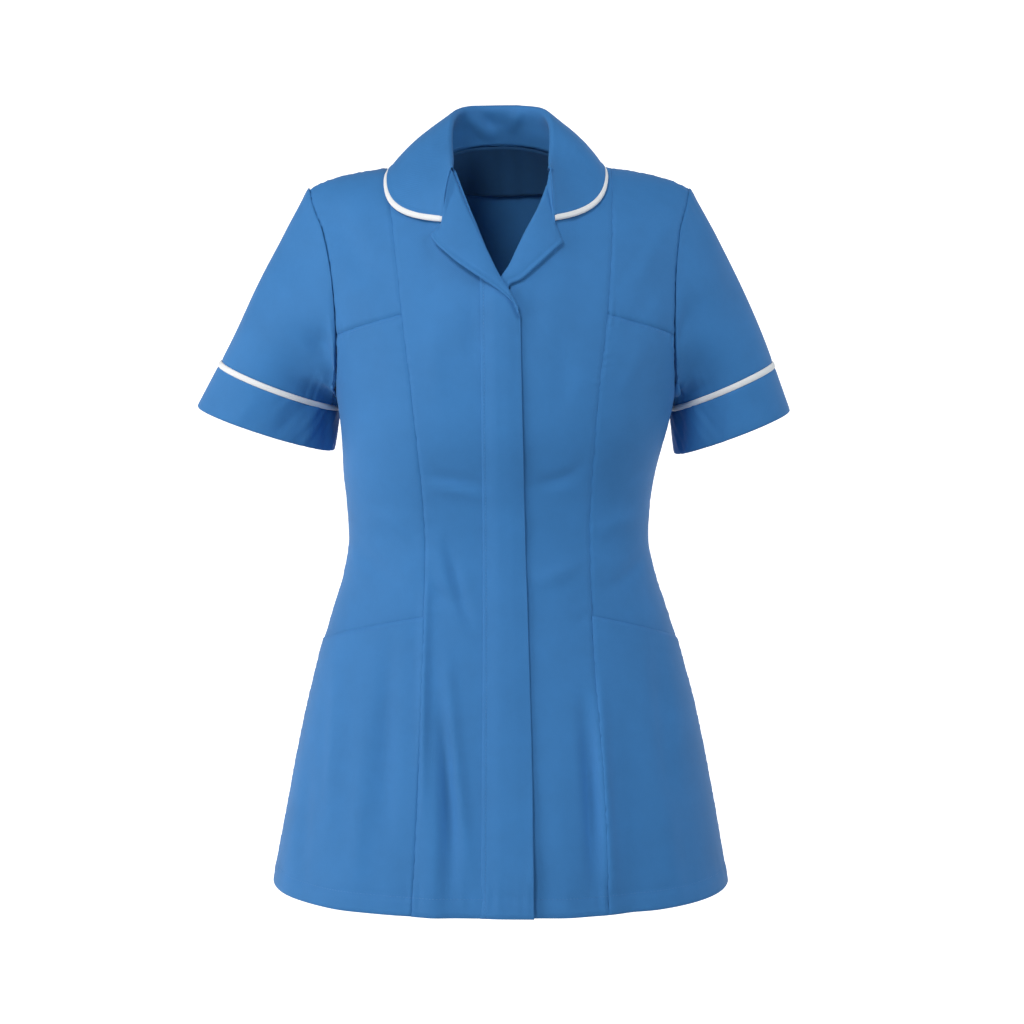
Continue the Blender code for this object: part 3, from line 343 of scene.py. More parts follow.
def panel_seam_x(face, side, level):
    """The x of the seam between a face's centre panel and its side panel."""
    if face == "back":
        return side * BACK.at("panel_seam", nominal_z(level))
    return front_line("centre", level) + side * front_line("panel_seam", level)


CLOSING_GAP = 0.0050


def closing_x(side, level):
    """The x of a centre front's closing edge."""
    return front_line("centre", level) + side * CLOSING_GAP


def front_top(side, share):
    """Level of a front's top edge at a share of the way from its closing edge to its panel seam."""
    z = np.full(np.shape(share), -0.05)
    for _ in range(12):
        level = level_of(np.zeros_like(z) + 0.1, z)
        x = closing_x(side, level) + share * (panel_seam_x("front", side, level) - closing_x(side, level))
        reach = side * x
        z = np.where(reach < NECK_POINT_X, FRONT_NECK[side].at("z", reach), RIDGE.at("height", reach))
    return level_of(x, z)


# Small creases, each a soft ridge or trough from its start to its end, on its own side:
# x and z of its start, x and z of its end, sideways bow, width and height
CREASES = {
    "front": [
        (-0.160, -0.036, -0.118, -0.125, 0.005, 0.013, -0.0026),
        (-0.140, -0.040, -0.104, -0.110, 0.003, 0.010, 0.0016),
        (-0.135, -0.150, -0.100, -0.215, 0.004, 0.008, -0.0011),
        (0.155, -0.060, 0.112, -0.125, -0.004, 0.008, 0.0011),
        (0.150, -0.110, 0.115, -0.180, 0.005, 0.009, -0.0012),
        (0.140, -0.165, 0.110, -0.225, 0.003, 0.008, 0.0010),
        (-0.080, -0.286, -0.004, -0.300, 0.004, 0.0055, -0.0018),
        (-0.076, -0.302, -0.010, -0.314, -0.003, 0.0050, 0.0016),
        (0.020, -0.302, 0.080, -0.284, 0.004, 0.0055, -0.0018),
        (0.078, -0.372, 0.020, -0.392, -0.004, 0.0065, 0.0016),
        (-0.076, -0.378, -0.025, -0.420, 0.006, 0.0070, -0.0019),
        (-0.135, -0.330, -0.080, -0.352, -0.006, 0.008, 0.0012),
        (-0.140, -0.355, -0.088, -0.395, 0.005, 0.0080, -0.0019),
        (0.138, -0.335, 0.082, -0.352, 0.005, 0.008, 0.0011),
        (0.142, -0.362, 0.090, -0.405, -0.005, 0.0080, -0.0018),
        (-0.067, -0.360, -0.070, -0.620, 0.002, 0.0048, 0.0034),
        (-0.054, -0.480, -0.047, -0.700, -0.003, 0.0070, -0.0054),
        (0.092, -0.470, 0.106, -0.700, 0.004, 0.0070, 0.0046),
        (0.074, -0.480, 0.086, -0.700, -0.003, 0.0062, -0.0044),
        (0.150, -0.560, 0.165, -0.700, 0.003, 0.0100, 0.0024),
        (-0.100, -0.425, -0.104, -0.640, 0.004, 0.0080, -0.0036),
        (-0.152, -0.450, -0.162, -0.660, -0.003, 0.0070, 0.0030),
        (-0.058, -0.140, -0.050, -0.235, 0.006, 0.010, 0.0011),
        (0.056, -0.150, 0.050, -0.250, -0.005, 0.010, -0.0010),
        (0.034, -0.100, 0.036, -0.180, 0.004, 0.008, -0.0009),
        (-0.030, -0.120, -0.026, -0.200, -0.003, 0.008, -0.0010),
        (-0.050, -0.440, -0.026, -0.660, 0.004, 0.0062, 0.0038),
        (-0.051, -0.345, -0.024, -0.440, 0.003, 0.0055, -0.0034),
        (-0.072, -0.412, -0.050, -0.402, 0.001, 0.003, -0.0010),
        (-0.072, -0.421, -0.048, -0.428, -0.001, 0.003, -0.0010),
        (0.085, -0.412, 0.064, -0.404, 0.001, 0.003, -0.0010),
        (0.085, -0.420, 0.064, -0.430, -0.001, 0.003, -0.0010),
        (-0.176, -0.540, -0.186, -0.700, 0.003, 0.0070, -0.0024),
        (0.140, -0.430, 0.156, -0.620, -0.004, 0.0080, -0.0022),
        (-0.128, -0.480, -0.136, -0.700, -0.003, 0.0080, 0.0027),
    ],
    "back": [
        (-0.072, -0.300, 0.050, -0.318, 0.006, 0.007, -0.0014),
        (-0.060, -0.332, 0.074, -0.326, -0.005, 0.007, 0.0013),
        (0.074, -0.352, -0.030, -0.372, 0.005, 0.008, -0.0014),
        (-0.140, -0.322, -0.080, -0.346, 0.005, 0.008, 0.0012),
        (0.142, -0.328, 0.084, -0.352, -0.005, 0.008, 0.0012),
        (-0.138, -0.365, -0.090, -0.410, 0.005, 0.009, -0.0013),
        (0.140, -0.372, 0.092, -0.412, -0.005, 0.009, -0.0013),
        (-0.150, -0.100, -0.104, -0.165, 0.005, 0.009, 0.0012),
        (-0.146, -0.150, -0.100, -0.230, -0.004, 0.009, -0.0012),
        (0.152, -0.105, 0.108, -0.168, -0.005, 0.009, 0.0012),
        (0.146, -0.158, 0.102, -0.232, 0.004, 0.009, -0.0012),
        (-0.036, -0.050, -0.030, -0.150, 0.004, 0.011, -0.0010),
        (0.040, -0.060, 0.034, -0.160, -0.004, 0.011, 0.0010),
        (-0.020, -0.480, -0.026, -0.700, 0.004, 0.013, -0.0022),
        (0.018, -0.520, 0.024, -0.700, -0.004, 0.012, 0.0016),
        (-0.100, -0.500, -0.112, -0.700, 0.004, 0.011, -0.0018),
        (0.098, -0.510, 0.106, -0.700, -0.004, 0.011, -0.0017),
        (0.165, -0.560, 0.180, -0.700, 0.003, 0.012, 0.0015),
        (-0.168, -0.560, -0.184, -0.700, -0.003, 0.012, 0.0015),
    ],
    # Along the collar from its middle, by the distance up from the neck seam
    "collar": [
        (-0.037, 0.040, -0.006, 0.003, 0.002, 0.0065, -0.0030),
        (0.020, 0.040, 0.0100, 0.010, 0.001, 0.0050, -0.0024),
        (-0.016, 0.034, -0.004, 0.014, 0.001, 0.0050, 0.0010),
    ],
    # Round the sleeve in turns from its outer line, by the share of the way down from the armhole
    "sleeve_right": [
        (0.36, 0.10, 0.20, 0.62, 0.03, 0.045, -0.0030),
        (0.43, 0.22, 0.28, 0.85, 0.02, 0.040, 0.0026),
        (0.47, 0.05, 0.36, 0.55, -0.02, 0.035, -0.0022),
        (0.16, 0.02, 0.10, 0.45, 0.02, 0.050, -0.0020),
        (0.05, 0.30, 0.12, 0.95, -0.02, 0.060, 0.0016),
        (0.64, 0.08, 0.80, 0.60, -0.03, 0.045, -0.0030),
        (0.56, 0.20, 0.70, 0.85, 0.02, 0.040, 0.0026),
        (0.86, 0.05, 0.92, 0.50, 0.02, 0.050, -0.0018),
        (0.50, 0.30, 0.46, 0.95, 0.02, 0.035, -0.0024),
        (0.30, 0.12, 0.27, 0.55, 0.01, 0.030, -0.0022),
    ],
    "cuff_right": [
        (0.36, -0.25, 0.35, 1.25, 0.00, 0.020, 0.0016),
        (0.41, -0.25, 0.42, 1.25, 0.00, 0.022, -0.0020),
        (0.30, 0.00, 0.27, 1.10, 0.01, 0.018, -0.0010),
        (0.21, 0.10, 0.18, 1.20, 0.00, 0.020, 0.0008),
        (0.70, -0.10, 0.74, 1.10, 0.01, 0.022, -0.0010),
    ],
    "cuff_left": [
        (0.35, -0.25, 0.33, 1.25, 0.00, 0.022, 0.0014),
        (0.41, -0.25, 0.43, 1.25, 0.00, 0.022, -0.0018),
        (0.23, -0.10, 0.28, 1.20, 0.00, 0.018, 0.0011),
        (0.17, 0.00, 0.16, 1.10, 0.00, 0.020, -0.0008),
        (0.78, -0.10, 0.73, 1.10, -0.01, 0.022, -0.0010),
    ],
    "sleeve_left": [
        (0.34, 0.08, 0.22, 0.55, -0.03, 0.045, -0.0026),
        (0.42, 0.25, 0.30, 0.90, 0.02, 0.040, 0.0024),
        (0.47, 0.10, 0.38, 0.60, 0.02, 0.035, -0.0024),
        (0.18, 0.04, 0.12, 0.55, 0.02, 0.050, 0.0018),
        (0.04, 0.25, 0.10, 0.90, 0.02, 0.060, -0.0015),
        (0.65, 0.10, 0.78, 0.62, 0.03, 0.045, -0.0028),
        (0.57, 0.25, 0.68, 0.90, -0.02, 0.040, 0.0024),
        (0.85, 0.06, 0.93, 0.55, -0.02, 0.050, -0.0018),
        (0.51, 0.35, 0.54, 0.98, 0.02, 0.035, -0.0022),
    ],
}


def crease_height(table, across, up):
    """Sum of a table's creases at places of a piece."""
    total = np.zeros(np.broadcast(across, up).shape)
    for x0, z0, x1, z1, bow, width, height in table:
        length = math.hypot(x1 - x0, z1 - z0)
        along_x, along_z = (x1 - x0) / length, (z1 - z0) / length
        along = ((across - x0) * along_x + (up - z0) * along_z) / length
        beside = (across - x0) * along_z - (up - z0) * along_x - 4 * bow * along * (1 - along)
        inside = np.clip(along, 0, 1)
        total = total + height * np.sin(np.pi * inside) ** 1.3 * bell(beside, width)
    return total


def curve(t, start, end, pull, leave, arrive):
    """Points on a cubic from its start to its end, which leaves and arrives along two directions."""
    return ((2 * t ** 3 - 3 * t ** 2 + 1) * start + (t ** 3 - 2 * t ** 2 + t) * pull * leave
            + (3 * t ** 2 - 2 * t ** 3) * end + (t ** 3 - t ** 2) * pull * arrive)


def unit(vectors):
    """Vectors brought to a length of 1."""
    return vectors / np.maximum(np.linalg.norm(vectors, axis=-1, keepdims=True), 1e-12)


def normals(grid, closed=False):
    """Unit normals of a grid of points."""
    if closed:
        across = np.roll(grid, -1, axis=1) - np.roll(grid, 1, axis=1)
    else:
        across = np.gradient(grid, axis=1)
    return unit(np.cross(across, np.gradient(grid, axis=0)))


def facing_out(grid, closed=False, centre=(0.0, 0.01)):
    """Unit normals that point away from the upright line through the centre."""
    out = normals(grid, closed)
    away = grid[:, :, :2] - np.array(centre)
    if np.sum(out[:, :, :2] * away) < 0:
        out = -out
    return out


def lengths(grid, axis):
    """Distance run along one axis of the grid, from its first row or column."""
    steps = np.linalg.norm(np.diff(grid, axis=axis), axis=2)
    total = np.cumsum(steps, axis=axis)
    start = np.zeros_like(np.take(total, [0], axis=axis))
    return np.concatenate([start, total], axis=axis)


def run_of(line):
    """Distance run along a line of points."""
    return np.concatenate([[0], np.cumsum(np.linalg.norm(np.diff(line, axis=0), axis=1))])


def along_line(where, run, line):
    """Places on a line of points, or of directions, at distances run."""
    return np.stack([np.interp(where, run, line[:, i]) for i in range(3)], axis=-1)


def even_shares(count, crowding=0.6):
    """Shares from 0 to 1, closer together towards both ends."""
    plain = np.linspace(0, 1, count)
    return plain - crowding * np.sin(2 * np.pi * plain) / (2 * np.pi)


def wander(along, scale, seed):
    """A smooth uneven wave between -1 and 1."""
    turn = 2 * np.pi * along / scale
    return (np.sin(turn + 1.9 * np.sin(0.37 * turn + seed)) + 0.6 * np.sin(1.73 * turn + 2.1 * seed)) / 1.6


def seam_relief(grid, edges, depth=0.0008, width=0.0022, pucker=0.00040, reach=0.010):
    """Height to add near seams: the cloth dips into each seam and puckers a little beside it."""
    relief = np.zeros(grid.shape[:2])
    across, up = lengths(grid, 1), lengths(grid, 0)
    runs = {"left": (across, up), "right": (across[:, -1:] - across, up),
            "bottom": (up, across), "top": (up[-1:] - up, across)}
    for number, edge in enumerate(edges):
        away, along = runs[edge]
        relief -= depth * bell(away, width)
        uneven = wander(along, 0.013, 1.3 * number + grid[0, 0, 0] * 90)
        relief += pucker * uneven * bell(away, reach)
    return relief


def hem_relief(grid, hem, fold=0.0006, dimple=0.0008):
    """Height to add at a turned-up hem: double cloth below its stitching, and a dimpled stitch line."""
    up, along = lengths(grid, 0), lengths(grid, 1)
    step = 1 / (1 + np.exp(np.clip((up - hem) / 0.0008, -60, 60)))
    line = bell(up - hem, 0.0016)
    near = bell(up - hem, 0.012)
    return fold * step - dimple * line + 0.00055 * near * wander(along, 0.016, grid[0, 0, 0] * 70)


def placed(name, data):
    """An object in the scene that shows a mesh, a lamp or a camera."""
    thing = bpy.data.objects.new(name, data)
    bpy.context.scene.collection.objects.link(thing)
    return thing


def new_object(name, points, faces, corners_uv, material):
    """A mesh object from points, faces and a UV for each face corner, smooth but for its sharp edges."""
    mesh = bpy.data.meshes.new(name)
    mesh.from_pydata(points.tolist(), [], faces.tolist())
    layer = mesh.uv_layers.new(name="cloth")
    layer.data.foreach_set("uv", np.asarray(corners_uv, np.float32).ravel())
    mesh.update()
    mesh.shade_smooth()
    mesh.set_sharp_from_angle(angle=math.radians(60))
    mesh.materials.append(material)
    return placed(name, mesh)


def shell(name, outer, out, thickness, material, closed=False, rounding=0.45):
    """A wall under a grid of outer points, with rounded rims where it ends."""
    inner = outer - thickness * out
    middle = (outer + inner) / 2
    pad = ((1, 1), (0, 0), (0, 0)) if closed else ((1, 1), (1, 1), (0, 0))
    front, back = np.pad(outer, pad, mode="edge"), np.pad(inner, pad, mode="edge")
    rim = np.pad(middle, pad, mode="edge")
    down, up = unit(outer[0] - outer[1]), unit(outer[-1] - outer[-2])
    if closed:
        rim[0] += rounding * thickness * down
        rim[-1] += rounding * thickness * up
        front[[0, -1]], back[[0, -1]] = rim[[0, -1]], rim[[0, -1]]
    else:
        before, after = unit(outer[:, 0] - outer[:, 1]), unit(outer[:, -1] - outer[:, -2])
        rim[0, 1:-1] += rounding * thickness * down
        rim[-1, 1:-1] += rounding * thickness * up
        rim[1:-1, 0] += rounding * thickness * before
        rim[1:-1, -1] += rounding * thickness * after
        for i, j in ((0, 0), (0, -1), (-1, 0), (-1, -1)):
            run_row = down if i == 0 else up
            run_column = before if j == 0 else after
            rim[i, j] += rounding * thickness * (run_row[j] + run_column[i])
        front[[0, -1]], back[[0, -1]] = rim[[0, -1]], rim[[0, -1]]
        front[:, [0, -1]], back[:, [0, -1]] = rim[:, [0, -1]], rim[:, [0, -1]]
    height, width = front.shape[:2]
    top = np.arange(height * width).reshape(height, width)
    under = top + height * width
    under[[0, -1]] = top[[0, -1]]
    if not closed:
        under[:, [0, -1]] = top[:, [0, -1]]
    uv = np.stack([lengths(front, 1), lengths(front, 0)], axis=2)
    if closed:
        last = np.linalg.norm(front[:, 0] - front[:, -1], axis=1)
        uv_end = np.stack([uv[:, -1, 0] + last, uv[:, 0, 1]], axis=1)[:, None]
        uv = np.concatenate([uv, uv_end], axis=1)
        top, under = np.concatenate([top, top[:, :1]], axis=1), np.concatenate([under, under[:, :1]], axis=1)
    points = np.concatenate([front.reshape(-1, 3), back.reshape(-1, 3)])
    faces, corners = [], []
    for index, turned in ((top, False), (under, True)):
        quads = [index[:-1, :-1], index[:-1, 1:], index[1:, 1:], index[1:, :-1]]
        quad_uv = [uv[:-1, :-1], uv[:-1, 1:], uv[1:, 1:], uv[1:, :-1]]
        if turned:
            quads, quad_uv = quads[::-1], quad_uv[::-1]
        faces.append(np.stack(quads, axis=2).reshape(-1, 4))
        corners.append(np.stack(quad_uv, axis=2).reshape(-1, 4, 2))
    faces, corners = np.concatenate(faces), np.concatenate(corners)
    used, faces = np.unique(faces, return_inverse=True)
    points, faces = points[used], faces.reshape(-1, 4)
    thing = new_object(name, points, faces, corners, material)
    turn_outward(thing.data)
    return thing


def turn_outward(mesh):
    """Flip the faces of a closed mesh if they look inward."""
    mesh.calc_loop_triangles()
    corners = np.zeros(len(mesh.loop_triangles) * 3, np.int32)
    mesh.loop_triangles.foreach_get("vertices", corners)
    points = np.zeros(len(mesh.vertices) * 3, np.float32)
    mesh.vertices.foreach_get("co", points)
    a, b, c = points.reshape(-1, 3)[corners.reshape(-1, 3)].transpose(1, 0, 2)
    if np.sum(a * np.cross(b, c)) < 0:
        mesh.flip_normals()


def refined(grid, count, axis, crowding=0.0):
    """Resample a grid along one axis on smooth curves through its points."""
    grid = np.moveaxis(grid, axis, 0)
    steps = np.linalg.norm(np.diff(grid, axis=0), axis=2).mean(axis=1)
    keys = np.concatenate([[0.0], np.cumsum(steps)])
    slopes = np.gradient(grid, keys, axis=0)
    where = even_shares(count, crowding) * keys[-1]
    row = np.clip(np.searchsorted(keys, where, side="right") - 1, 0, len(steps) - 1)
    span = steps[row][:, None, None]
    t = ((where - keys[row]) / steps[row])[:, None, None]
    made = curve(t, grid[row], grid[row + 1], span, slopes[row], slopes[row + 1])
    return np.moveaxis(made, 0, axis)


def settle(thing, slot, *nodes):
    """Let a piece ride with the tunic and stand for its solids, which it hides; the slot is not used."""
    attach(thing, "root")
    if nodes:
        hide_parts(*nodes)
    return thing


def piece(name, grid, out, thickness, finish, slot, node, closed=False):
    """A wall of cloth that stands for one of the solids."""
    return settle(shell(name, grid, out, thickness, finish_of(finish), closed), slot, node)


def shader_of(material, colour, roughness, sheen):
    """The material's own shader with its plain values set on its sockets."""
    shader = material.node_tree.nodes["Principled BSDF"]
    shader.inputs["Base Color"].default_value = (*colour, 1.0)
    shader.inputs["Roughness"].default_value = roughness
    shader.inputs["Sheen Weight"].default_value = sheen
    shader.inputs["Sheen Roughness"].default_value = 0.45
    shader.inputs["Specular IOR Level"].default_value = 0.35
    return shader


def new_material(name):
    """A material with its own shader."""
    material = bpy.data.materials.new(name)
    material.use_nodes = True
    return material


def wire(material, node, links):
    """Feed a node's sockets from other nodes' outputs."""
    for socket, (source, output) in links.items():
        material.node_tree.links.new(source.outputs[output], node.inputs[socket])


def add_node(material, kind, values, links, **settings):
    """A shader node with its settings, plain values on some sockets and links to others."""
    node = material.node_tree.nodes.new("ShaderNode" + kind)
    for name, value in settings.items():
        setattr(node, name, value)
    for socket, value in values.items():
        node.inputs[socket].default_value = value
    wire(material, node, links)
    return node


def woven(name, colour, spacing, depth, roughness=0.78, sheen=0.18, twill=True, mottle=0.07):
    """A woven cloth: diagonal twill or plain threads in the bump, slightly uneven dye, and painted shade in
    the grooves between the threads.
    """
    material = new_material(name)
    shader = shader_of(material, colour, roughness, sheen)
    place = add_node(material, "UVMap", {}, {}, uv_map="cloth")
    turn = (0, 0, math.radians(57 if twill else 0))
    turned = add_node(material, "Mapping", {"Rotation": turn}, {"Vector": (place, "UV")})
    bands = {"Scale": 1 / (spacing * 3.18), "Distortion": 0.6, "Detail": 1.0, "Detail Scale": 0.6}
    threads = add_node(material, "TexWave", bands, {"Vector": (turned, "Vector")},
                       wave_profile="SIN", bands_direction="X")
    body = add_node(material, "TexCoord", {}, {})
    slub = add_node(material, "TexNoise", {"Scale": 900.0, "Detail": 2.0}, {"Vector": (body, "Object")})
    height = add_node(material, "Mix", {0: 0.4}, {2: (threads, "Fac"), 3: (slub, "Fac")}, data_type="FLOAT")
    bump = add_node(material, "Bump", {"Strength": 0.5, "Distance": depth}, {"Height": (height, 0)})
    uneven = {"Scale": 14.0, "Detail": 6.0, "Roughness": 0.65}
    cloud = add_node(material, "TexNoise", uneven, {"Vector": (body, "Object")})
    dye = add_node(material, "ValToRGB", {}, {"Fac": (cloud, "Fac")})
    for element, position, change in zip(dye.color_ramp.elements, (0.3, 0.7), (1 - mottle, 1 + mottle)):
        element.position = position
        element.color = (*[min(1, channel * change) for channel in colour], 1)
    # The colour follows the threads' height: painted shade in the grooves between threads and a faint painted
    # highlight on their tops
    painted_shade = add_node(material, "MapRange", {"To Min": 0.93, "To Max": 1.04}, {"Value": (height, 0)})
    dye_and_painted_shade = add_node(material, "Mix", {}, {}, data_type="RGBA", blend_type="MULTIPLY")
    dye_and_painted_shade.inputs[0].default_value = 1.0
    wire(material, dye_and_painted_shade, {6: (dye, "Color"), 7: (painted_shade, "Result")})
    wire(material, shader, {"Normal": (bump, "Normal"), "Base Color": (dye_and_painted_shade, 2)})
    return material


def hard(name, colour, roughness, metallic, scale, depth):
    """Moulded plastic or die-cast metal, with faint unevenness in its bump and gloss."""
    material = new_material(name)
    shader = shader_of(material, colour, roughness, 0.0)
    shader.inputs["Metallic"].default_value = metallic
    body = add_node(material, "TexCoord", {}, {})
    grain = add_node(material, "TexNoise", {"Scale": scale, "Detail": 4.0}, {"Vector": (body, "Object")})
    limits = {"To Min": roughness * 0.8, "To Max": min(1.0, roughness * 1.25)}
    gloss = add_node(material, "MapRange", limits, {"Value": (grain, "Fac")})
    bump = add_node(material, "Bump", {"Strength": 0.3, "Distance": depth}, {"Height": (grain, "Fac")})
    wire(material, shader, {"Roughness": (gloss, "Result"), "Normal": (bump, "Normal")})
    return material


# The facing is the same twill at half its colour: painted shade, for the deep shade inside the neck that the
# lamps fill with light
FACING_PAINTED_SHADE = 0.5


def finish_of(name):
    """The tunic's materials, each made once from the sizes and colours in the panel."""
    found = bpy.data.materials.get(name)
    if found:
        return found
    cloth = bpy.context.scene.tunic_cloth
    if name == "blue twill":
        return woven(name, cloth.cloth_colour, cloth.weave_spacing, cloth.weave_depth,
                     cloth.roughness, cloth.sheen)
    if name == "shaded twill":
        # Half the twill's colour: painted shade for the facing deep in the neck
        painted_shade = [channel * FACING_PAINTED_SHADE for channel in cloth.cloth_colour]
        return woven(name, painted_shade, cloth.weave_spacing, cloth.weave_depth, cloth.roughness, cloth.sheen)
    if name == "white piping cloth":
        return woven(name, cloth.piping_colour, spacing=0.0006, depth=0.00008, roughness=0.7, sheen=0.1,
                     twill=False, mottle=0.02)
    if name == "thread":
        return woven(name, cloth.thread_colour, spacing=0.0004, depth=0.00005, roughness=0.6, sheen=0.2,
                     mottle=0.05)
    if name == "woven zip tape":
        return woven(name, cloth.tape_colour, spacing=0.0008, depth=0.00012, roughness=0.85, sheen=0.1,
                     twill=False)
    if name == "moulded teeth":
        return hard(name, cloth.tape_colour, roughness=0.4, metallic=0.0, scale=500.0, depth=0.00003)
    return hard("cast slider", cloth.metal_colour, roughness=0.32, metallic=1.0, scale=300.0, depth=0.00002)


LOW_END = 1.17
POCKET_TOP = (0.562, 0.487)
BUST_SEAM = (1.335, 1.250)
POCKET_PROUD = 0.0018
POCKET_SET_BACK = 0.0016
POCKET_TUCK = 0.0007
# The pocket's turned top: its depth, and how far it stands proud of the pocket
POCKET_TURNING = 0.020
POCKET_TURNING_RISE = 0.0002
BACK_LOW_END = 1.3


def crowded(count, power=1.7):
    """Shares from 0 to 1 that crowd together towards 1, where the cloth turns over the shoulder."""
    return 1 - (1 - np.linspace(0, 1, count)) ** power


def slanted(ends, shares):
    """Values from one end to the other."""
    return ends[0] + shares * (ends[1] - ends[0])


def panel_levels(low_end, top, low_rows, high_rows):
    """Even rows up to the low end, then crowding rows up to a panel's top edge."""
    low = np.repeat(np.linspace(0, low_end, low_rows)[:, None], len(top), axis=1)
    return np.concatenate([low, low_end + crowded(high_rows)[1:, None] * (top - low_end)[None, :]])


def front_centre_grid(side, shares, low_rows, high_rows):
    """A centre front, from its closing edge to its panel seam."""
    top = front_top(side, shares)
    levels = panel_levels(LOW_END, top, low_rows, high_rows)
    edge = closing_x(side, levels)
    x = edge + shares[None, :] * (panel_seam_x("front", side, levels) - edge)
    return torso("front", side, angle_of(side, x, levels), levels)


def side_grid(face, side, levels, shares):
    """A side panel: levels has a row for each row and a column for each share across."""
    start = angle_of(side, panel_seam_x(face, side, levels), levels)
    end = np.where(levels > 1, armhole_angle(face, levels - 1), math.pi / 2)
    return torso(face, side, start + shares[None, :] * (end - start), levels)


def caught(shares):
    """How firmly a pocket's top edge is held at the seams beside it: 1 at each of its ends."""
    return bell(shares, 0.08) + bell(1 - shares, 0.12)


def side_levels(low, high, rows, shares):
    """Rows between two slanted ends of a panel."""
    start, end = slanted(low, shares)[None, :], slanted(high, shares)[None, :]
    return start + np.linspace(0, 1, rows)[:, None] * (end - start)


def back_top(share):
    """Level of the centre back's top edge at a share of the way from its middle to its seam."""
    x = np.abs(share) * BACK.at("panel_seam", SHOULDER_Z)
    z = np.where(x < NECK_POINT_X, BACK_NECK.at("z", x), RIDGE.at("height", x))
    return level_of(x, z)


def back_centre_grid(shares, low_rows, high_rows):
    """The centre back, from seam to seam."""
    top = back_top(shares)
    levels = panel_levels(BACK_LOW_END, top, low_rows, high_rows)
    x = shares[None, :] * BACK.at("panel_seam", nominal_z(levels))
    return torso("back", LEFT, angle_of(LEFT, x, levels), levels)


def creased(grid, face):
    """A body panel's grid with its creases, which fade where the panel turns towards the side."""
    out = facing_out(grid)
    strength = bpy.context.scene.tunic_cloth.crease_strength
    facing = np.clip(np.abs(out[:, :, 1]) * 1.6, 0, 1)
    height = strength * facing * crease_height(CREASES[face], grid[:, :, 0], grid[:, :, 2])
    return grid + out * height[:, :, None], out


def panel(name, grid, face, seams, node, hem=0.0, lift=0.0):
    """One panel of the body: creased, dipped at its seams and turned up at its hem."""
    grid, out = creased(grid, face)
    relief = seam_relief(grid, seams) + lift
    if hem > 0:
        relief = relief + hem_relief(grid, hem)
    grid = grid + out * relief[:, :, None]
    thing = piece(name, grid, facing_out(grid), CLOTH, "blue twill", "blue_twill", node)
    GRIDS[name] = grid


class TunicOperator:
    """What all of the tunic's operators share."""

    bl_options = {"REGISTER", "UNDO"}


class TUNIC_OT_fronts(TunicOperator, bpy.types.Operator):
    """Build the centre fronts and the side fronts"""

    bl_idname = "tunic.fronts"
    bl_label = "Fronts"

    def execute(self, context):
        hem = context.scene.tunic_cloth.hem_depth
        for name, side in SIDES.items():
            grid = front_centre_grid(side, even_shares(34), 112, 44)
            panel("centre_front_" + name, grid, "front", ("right", "top"), "front_centre_" + name, hem)
            shares = even_shares(40)
            pocket = slanted(POCKET_TOP, shares)
            low = np.linspace(0, 1, 40)[:, None] * pocket[None, :]
            high = side_levels(POCKET_TOP, BUST_SEAM, 84, shares)[1:]
            levels = np.concatenate([low, high])
            grid = side_grid("front", side, levels, shares)
            up = levels / pocket[None, :]
            set_back = -POCKET_SET_BACK * np.clip((1 - up) / 0.3, 0, 1)
            set_back = set_back - POCKET_TUCK * caught(shares)[None, :] * bell(up - 1, 0.12)
            panel("side_front_" + name, grid, "front", ("left", "right", "top"),
                  "front_side_lower_" + name, 0.0, set_back)
            levels = slanted(BUST_SEAM, shares)[None, :]
            levels = levels + crowded(44)[:, None] * (2 - levels)
            grid = side_grid("front", side, levels, shares)
            panel("upper_front_" + name, grid, "front", ("left", "right", "bottom", "top"),
                  "front_side_upper_" + name)
        return {"FINISHED"}


class TUNIC_OT_pockets(TunicOperator, bpy.types.Operator):
    """Build the hip pockets, slightly proud at their slanted top edges"""

    bl_idname = "tunic.pockets"
    bl_label = "Pockets"

    def execute(self, context):
        hem = context.scene.tunic_cloth.hem_depth
        for name, side in SIDES.items():
            shares = even_shares(40)
            up = np.linspace(0, 1, 78)[:, None]
            grid = side_grid("front", side, up * slanted(POCKET_TOP, shares)[None, :], shares)
            lift = np.interp(up, [0.0, 0.70, 0.93, 1.0], [0.0001, 0.0002, 0.0012, POCKET_PROUD])
            from_top = lengths(grid, 0)[-1:] - lengths(grid, 0)
            lift = lift * (1 - 0.60 * caught(shares)[None, :])
            turned = POCKET_TURNING_RISE / (1 + np.exp((from_top - POCKET_TURNING) / 0.0008))
            line = POCKET_TURNING_RISE * bell(from_top - POCKET_TURNING, 0.0014)
            panel("pocket_front_" + name, grid, "front", ("left", "right"), "pocket_" + name, hem,
                  lift + turned - line)
        return {"FINISHED"}


class TUNIC_OT_backs(TunicOperator, bpy.types.Operator):
    """Build the centre back and the side backs"""

    bl_idname = "tunic.backs"
    bl_label = "Backs"

    def execute(self, context):
        hem = context.scene.tunic_cloth.hem_depth
        grid = back_centre_grid(np.linspace(-1, 1, 61), 124, 40)
        panel("centre_back", grid, "back", ("left", "right", "top"), "back_centre", hem)
        for name, side in SIDES.items():
            levels = panel_levels(BACK_LOW_END, np.full(40, 2.0), 124, 40)
            grid = side_grid("back", side, levels, even_shares(40))
            panel("side_back_" + name, grid, "back", ("left", "right", "top"), "back_side_" + name, hem)
        return {"FINISHED"}


# Sleeve rings: the corners of the sleeve's end and of the cuff's hem, and each ring's half depth
SLEEVE_END = {
    RIGHT: {"outer": (-0.2655, 0.012, -0.1905), "inner": (-0.1538, 0.035, -0.2335), "half_depth": 0.052},
    LEFT: {"outer": (0.2580, 0.012, -0.1915), "inner": (0.1612, 0.035, -0.2345), "half_depth": 0.055},
}
CUFF_HEM = {
    RIGHT: {"outer": (-0.2890, 0.018, -0.2335), "inner": (-0.1593, 0.030, -0.2757), "half_depth": 0.047},
    LEFT: {"outer": (0.2752, 0.018, -0.2380), "inner": (0.1660, 0.030, -0.2795), "half_depth": 0.052},
}
